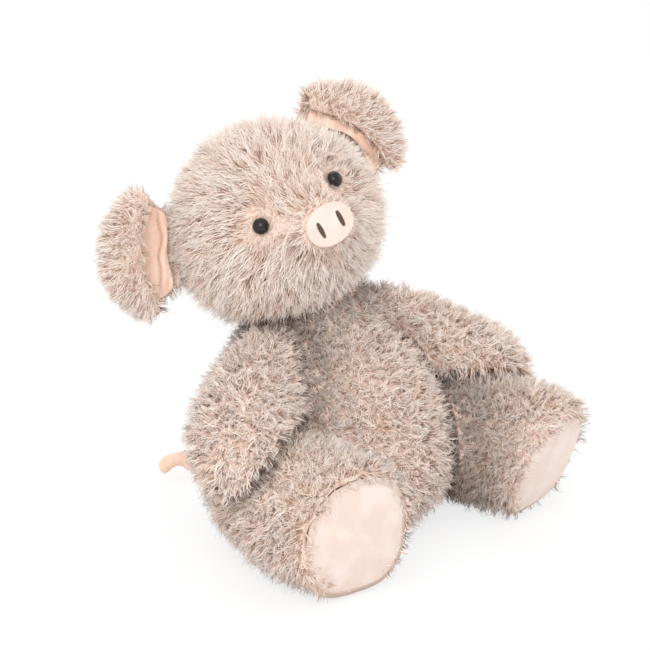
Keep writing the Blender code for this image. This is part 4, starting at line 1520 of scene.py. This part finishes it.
@dataclass
class Leg:
    """One leg with the suede sole on its foot."""

    side: Side
    seed: int
    style: PileStyle = replace(
        CURLY,
        density=0.86,
        clearance=0.2 * MM,
        bare_reach=8 * MM,
        overhang=1.0,
        calm=0.75,
        shade=0.95,
        shade_reach=58 * MM,
    )
    bulges: tuple[Bulge, ...] = ()
    shadow: tuple[str, ...] = ()
    clear_side: bool = False
    crown: float = 2.4 * MM
    skirt: float = 6 * MM
    flare: float = 0.10
    square: tuple[float, float] = (2.3, 3.0)
    widening: float = 0.3 * MM
    dents: float = 0.9 * MM
    clear_height: float = 30 * MM
    sole: Matrix = field(init=False)
    sole_half: Vector = field(init=False)

    def comb(self, places: np.ndarray, normals: np.ndarray) -> np.ndarray:
        """The pile lies towards the sole and down, and in over the sole's edge."""
        turn = np.array(self.sole.to_3x3())
        local = (places - np.array(self.sole.translation)) @ turn
        beyond = np.linalg.norm(local[:, :2] / np.array(self.sole_half)[:2], axis=1) - 1
        near = np.exp(-((local[:, 2] / (9 * MM)) ** 2)) * np.exp(-((beyond / 0.35) ** 2))
        inward = -unit(local * np.array([1, 1, 0])) @ turn.T
        return np.array([0, -1.0, -0.5]) * (1 - 0.6 * near)[:, None] + inward * near[:, None] * 1.1

    def build(self, finishes: Finishes) -> None:
        """Builds the leg."""
        side = self.side.value
        near = ("torso_skin", f"{side}_arm_skin")
        nodes = (f"{side}_leg_skin", f"{side}_leg_stuffing")
        bare = f"{side}_foot_sole"
        form = StuffedForm(
            f"{side}_leg_cover", nodes, near, (bare,), bare_depth=0.2 * MM, bare_slope=0.4, bulges=self.bulges,
            shadow=self.shadow
        )
        self.sole, half = Workshop.plate_frame(bare, Workshop.centre(nodes[0]), upright=True)
        self.sole_half = half = Vector((half.x + self.widening, half.y + self.widening, half.z))
        pile = Pile(form, self.style, self.comb, self.seed, self.clear_ovals())
        dress(pile, f"{side}_leg", finishes)
        name = f"{side}_foot_patch"
        patch = SuedePatch(name, self.sole, half, self.square, self.crown, self.skirt, self.flare, self.dents)
        hang(patch.build(finishes.suede), bare, f"{side}_leg")

    def clear_ovals(self) -> tuple[Oval, ...]:
        """What the fur leaves free: the sole's middle and lower edge, and its outer edge where that shows."""
        half, high = self.sole_half, self.clear_height
        below = self.sole @ Matrix.Translation((0, -half.y, 0))
        clear = [(self.sole, half.x * 0.82, half.y * 0.82, high), (below, half.x * 0.75, half.y * 0.22, high)]
        if self.clear_side:
            outer = self.sole @ Matrix.Translation((half.x, 0, 0))
            clear.append((outer, half.x * 0.22, half.y * 0.75, high))
        return tuple(clear)


@dataclass
class Tail:
    """The curly satin tail."""

    radius: float = 4.6 * MM
    end_reach: tuple[float, float] = (6 * MM, 9 * MM)

    def build(self, finishes: Finishes) -> None:
        """Builds the tail: a stuffed tube with soft lumps, rounded at its end, with painted shade on its underside."""
        tail = Workshop.copy_nodes(("tail",), "tail_tube")
        Workshop.modify(tail, "REMESH", mode="VOXEL", voxel_size=0.8 * MM)
        Workshop.modify(tail, "SMOOTH", factor=0.5, iterations=4)
        self.round_tip(tail)
        Workshop.cloudy(tail, 5 * MM, 0.7 * MM)
        # Painted shade: the underside is darkened through the satin's crease mark.
        under = smooth_step(-Workshop.normals(tail)[:, 2], 0.75, 1.0)
        Workshop.mark(tail, "crease", 0.35 * under)
        Workshop.round_off(tail, finishes.satin)
        hang(tail, "tail", "tail")

    def round_tip(self, tail: bpy.types.Object) -> None:
        """Rounds the tail's free end over to a dome."""
        places = Workshop.points(tail)
        far = np.linalg.norm(places - np.array(Workshop.centre("torso_skin")), axis=1)
        end = places[far > far.max() - 1.5 * MM].mean(0)
        apart = np.linalg.norm(places - end, axis=1)
        first, last = self.end_reach
        ahead = unit(end - places[(apart > first) & (apart < last)].mean(0))
        behind = np.maximum((end - places) @ ahead, 0)
        share = np.sqrt(np.clip(1 - (1 - np.minimum(behind / self.radius, 1)) ** 2, 0.02, 1))
        axis = end - behind[:, None] * ahead
        near = (apart < 2.4 * self.radius) & (behind < self.radius)
        places[near] = (axis + (places - axis) * share[:, None])[near]
        Workshop.move(tail, places)


@dataclass
class Inside:
    """What the covers hold: loose filling, a pouch of beans and the eyes' washers."""

    margin: float = 1.2 * MM
    tufts: float = 1.6 * MM

    def build(self, finishes: Finishes) -> None:
        """Dresses each inner node."""
        for name, node in list(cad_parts.items()):
            if node.hide_render:
                continue
            if "washer" in name:
                for slot in node.material_slots:
                    slot.link = "OBJECT"
                    slot.material = finishes.moulded
                LOG.info("%s: %s", name, finishes.moulded.name)
            elif name == "bean_pouch":
                self.fill(name, "bean_bag", "torso", finishes.calico, "calico")
            else:
                body = name.removesuffix("_stuffing")
                self.fill(name, f"{body}_filling", body, finishes.fibre, "fibre")

    def fill(self, node: str, name: str, body: str, finish: bpy.types.Material, slot: str) -> None:
        """Makes a filling that lies wholly under its cover.

        Args:
            node: the CAD node that it stands for.
            name: the piece's name.
            body: the body that it rides on.
            finish: its material.
            slot: not used.
        """
        piece = Workshop.copy_nodes((node,), name)
        Workshop.modify(piece, "REMESH", mode="VOXEL", voxel_size=3 * MM)
        Workshop.cloudy(piece, 9 * MM, self.tufts, 0.8)
        cover = bpy.data.objects.get(f"{body}_cover")
        if cover is not None:
            self.draw_in(piece, cover)
        Workshop.round_off(piece, finish)
        hang(piece, node, body)

    def draw_in(self, piece: bpy.types.Object, cover: bpy.types.Object) -> None:
        """Moves what stands out of a cover to just under it."""
        tree = Workshop.tree_over(cover)
        for _ in range(2):
            for vertex in piece.data.vertices:
                place, normal, _, _ = tree.find_nearest(vertex.co)
                if (vertex.co - place).dot(normal) > -self.margin:
                    vertex.co = place - normal * self.margin
            Workshop.modify(piece, "SMOOTH", factor=0.3, iterations=1)


@dataclass
class Studio:
    """The camera, the pale floor and the soft light."""

    azimuth: float = math.radians(-45)
    elevation: float = math.radians(19)
    distance: float = 1.6
    pixel: float = 0.6 * MM
    shift: tuple[float, float] = (-8.7 * MM, 10.8 * MM)
    look_at: Offset = (0, -0.006, 0.110)
    sensor: float = 36
    image: int = 650
    sky: Colour = (1.0, 0.99, 0.98)
    sky_strength: float = 0.82
    paper: Colour = (0.9, 0.9, 0.9)
    paper_glow: float = 0.78

    def build(self) -> None:
        """Sets up the studio."""
        scene = bpy.context.scene
        scene.view_settings.view_transform = "Standard"
        self.build_camera(scene)
        self.build_world(scene)
        self.build_floor()
        self.build_lights()

    def build_camera(self, scene: bpy.types.Scene) -> None:
        """Puts the camera at the photograph's view."""
        a, e = self.azimuth, self.elevation
        right = Vector((math.cos(a), math.sin(a), 0))
        up = Vector((-math.sin(a) * math.sin(e), math.cos(a) * math.sin(e), math.cos(e)))
        back = Vector((math.sin(a) * math.cos(e), -math.cos(a) * math.cos(e), math.sin(e)))
        aim = Vector(self.look_at) + right * self.shift[0] + up * self.shift[1]
        lens = bpy.data.cameras.new("camera")
        lens.sensor_width = self.sensor
        lens.lens = self.distance / self.pixel * self.sensor / self.image
        camera = bpy.data.objects.new("camera", lens)
        turn = Matrix((right, up, back)).transposed().to_4x4()
        camera.matrix_world = Matrix.Translation(aim + back * self.distance) @ turn
        scene.collection.objects.link(camera)
        scene.camera = camera

    def build_world(self, scene: bpy.types.Scene) -> None:
        """Lights the object evenly, and shows white behind it."""
        scene.world = bpy.data.worlds.new("studio")
        scene.world.use_nodes = True
        nodes = Nodes(scene.world.node_tree)
        shown: Wire | int = 0
        for kind in ("Camera", "Glossy", "Transmission"):
            ray = nodes.node("ShaderNodeLightPath", output=f"Is {kind} Ray")
            shown = nodes.node("ShaderNodeMath", {"operation": "MAXIMUM"}, {0: shown, 1: ray})
        light = nodes.tree.nodes["Background"]
        nodes.set(light.inputs["Color"], self.sky)
        nodes.set(light.inputs["Strength"], self.sky_strength)
        white = nodes.node("ShaderNodeBackground", {}, {"Color": WHITE, "Strength": 1})
        both = nodes.node("ShaderNodeMixShader", {}, {0: shown, 1: Wire(nodes, light.outputs[0]), 2: white})
        nodes.set(nodes.tree.nodes["World Output"].inputs["Surface"], both)

    def build_floor(self) -> None:
        """Lays the pale floor."""
        bpy.ops.object.select_all(action="DESELECT")
        bpy.ops.mesh.primitive_plane_add(size=30, location=(0, 0, 0))
        floor = bpy.context.object
        floor.name = "floor"
        floor.data.transform(Matrix.Translation((0, 0, -0.1 * MM)))
        bench = Bench("floor_paper", 0.9)
        bench.feed("Base Color", self.paper)
        seen = bench.node("ShaderNodeLightPath", output="Is Camera Ray")
        glow = bench.node("ShaderNodeEmission", {}, {"Color": WHITE})
        matt = Wire(bench, bench.shader.outputs[0])
        both = bench.node("ShaderNodeMixShader", {}, {0: seen * self.paper_glow, 1: matt, 2: glow})
        bench.set(bench.tree.nodes["Material Output"].inputs["Surface"], both)
        floor.data.materials.append(bench.material)

    def build_lights(self) -> None:
        """Hangs the soft boxes."""
        boxes = (
            ("key", (-1.25, -0.95, 1.25), 1.3, 24.0),
            ("fill", (1.30, -0.90, 0.90), 1.0, 4.5),
            ("back", (0.4, 1.0, 1.4), 1.2, 8.0),
        )
        for name, where, size, power in boxes:
            lamp = bpy.data.lights.new(name, "AREA")
            lamp.size = size
            lamp.energy = power
            light = bpy.data.objects.new(name, lamp)
            aim = Vector((0, 0, 0.12)) - Vector(where)
            light.matrix_world = Matrix.Translation(where) @ aim.to_track_quat("-Z", "Y").to_matrix().to_4x4()
            bpy.context.scene.collection.objects.link(light)


def main() -> None:
    """Builds the studio and each part of the pig in order."""
    logging.basicConfig(level=logging.INFO, format="%(name)s: %(message)s", force=True)
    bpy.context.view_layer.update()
    Studio().build()
    finishes = Finishes()
    right = (
        Ear(Side.RIGHT, seed=41),
        Arm(Side.RIGHT, seed=51, bulge=((-0.108, 0.010, 0.090), 0.040, 4.5 * MM)),
        Leg(Side.RIGHT, seed=61, bulges=(((-0.117, -0.050, 0.015), 0.036, 5 * MM),)),
    )
    left = (
        Ear(Side.LEFT, seed=43, spread=(-6.5 * MM, -1 * MM, -3 * MM), cut=(72 * MM, 62 * MM)),
        Arm(Side.LEFT, seed=53, bulge=((0.076, -0.052, 0.084), 0.030, 5.5 * MM)),
        Leg(Side.LEFT, seed=63, shadow=("torso_skin",), clear_side=True),
    )
    for part in (Torso(), Head(), *right, *left, Tail(), Inside()):
        part.build(finishes)


if __name__ == "__main__":
    main()
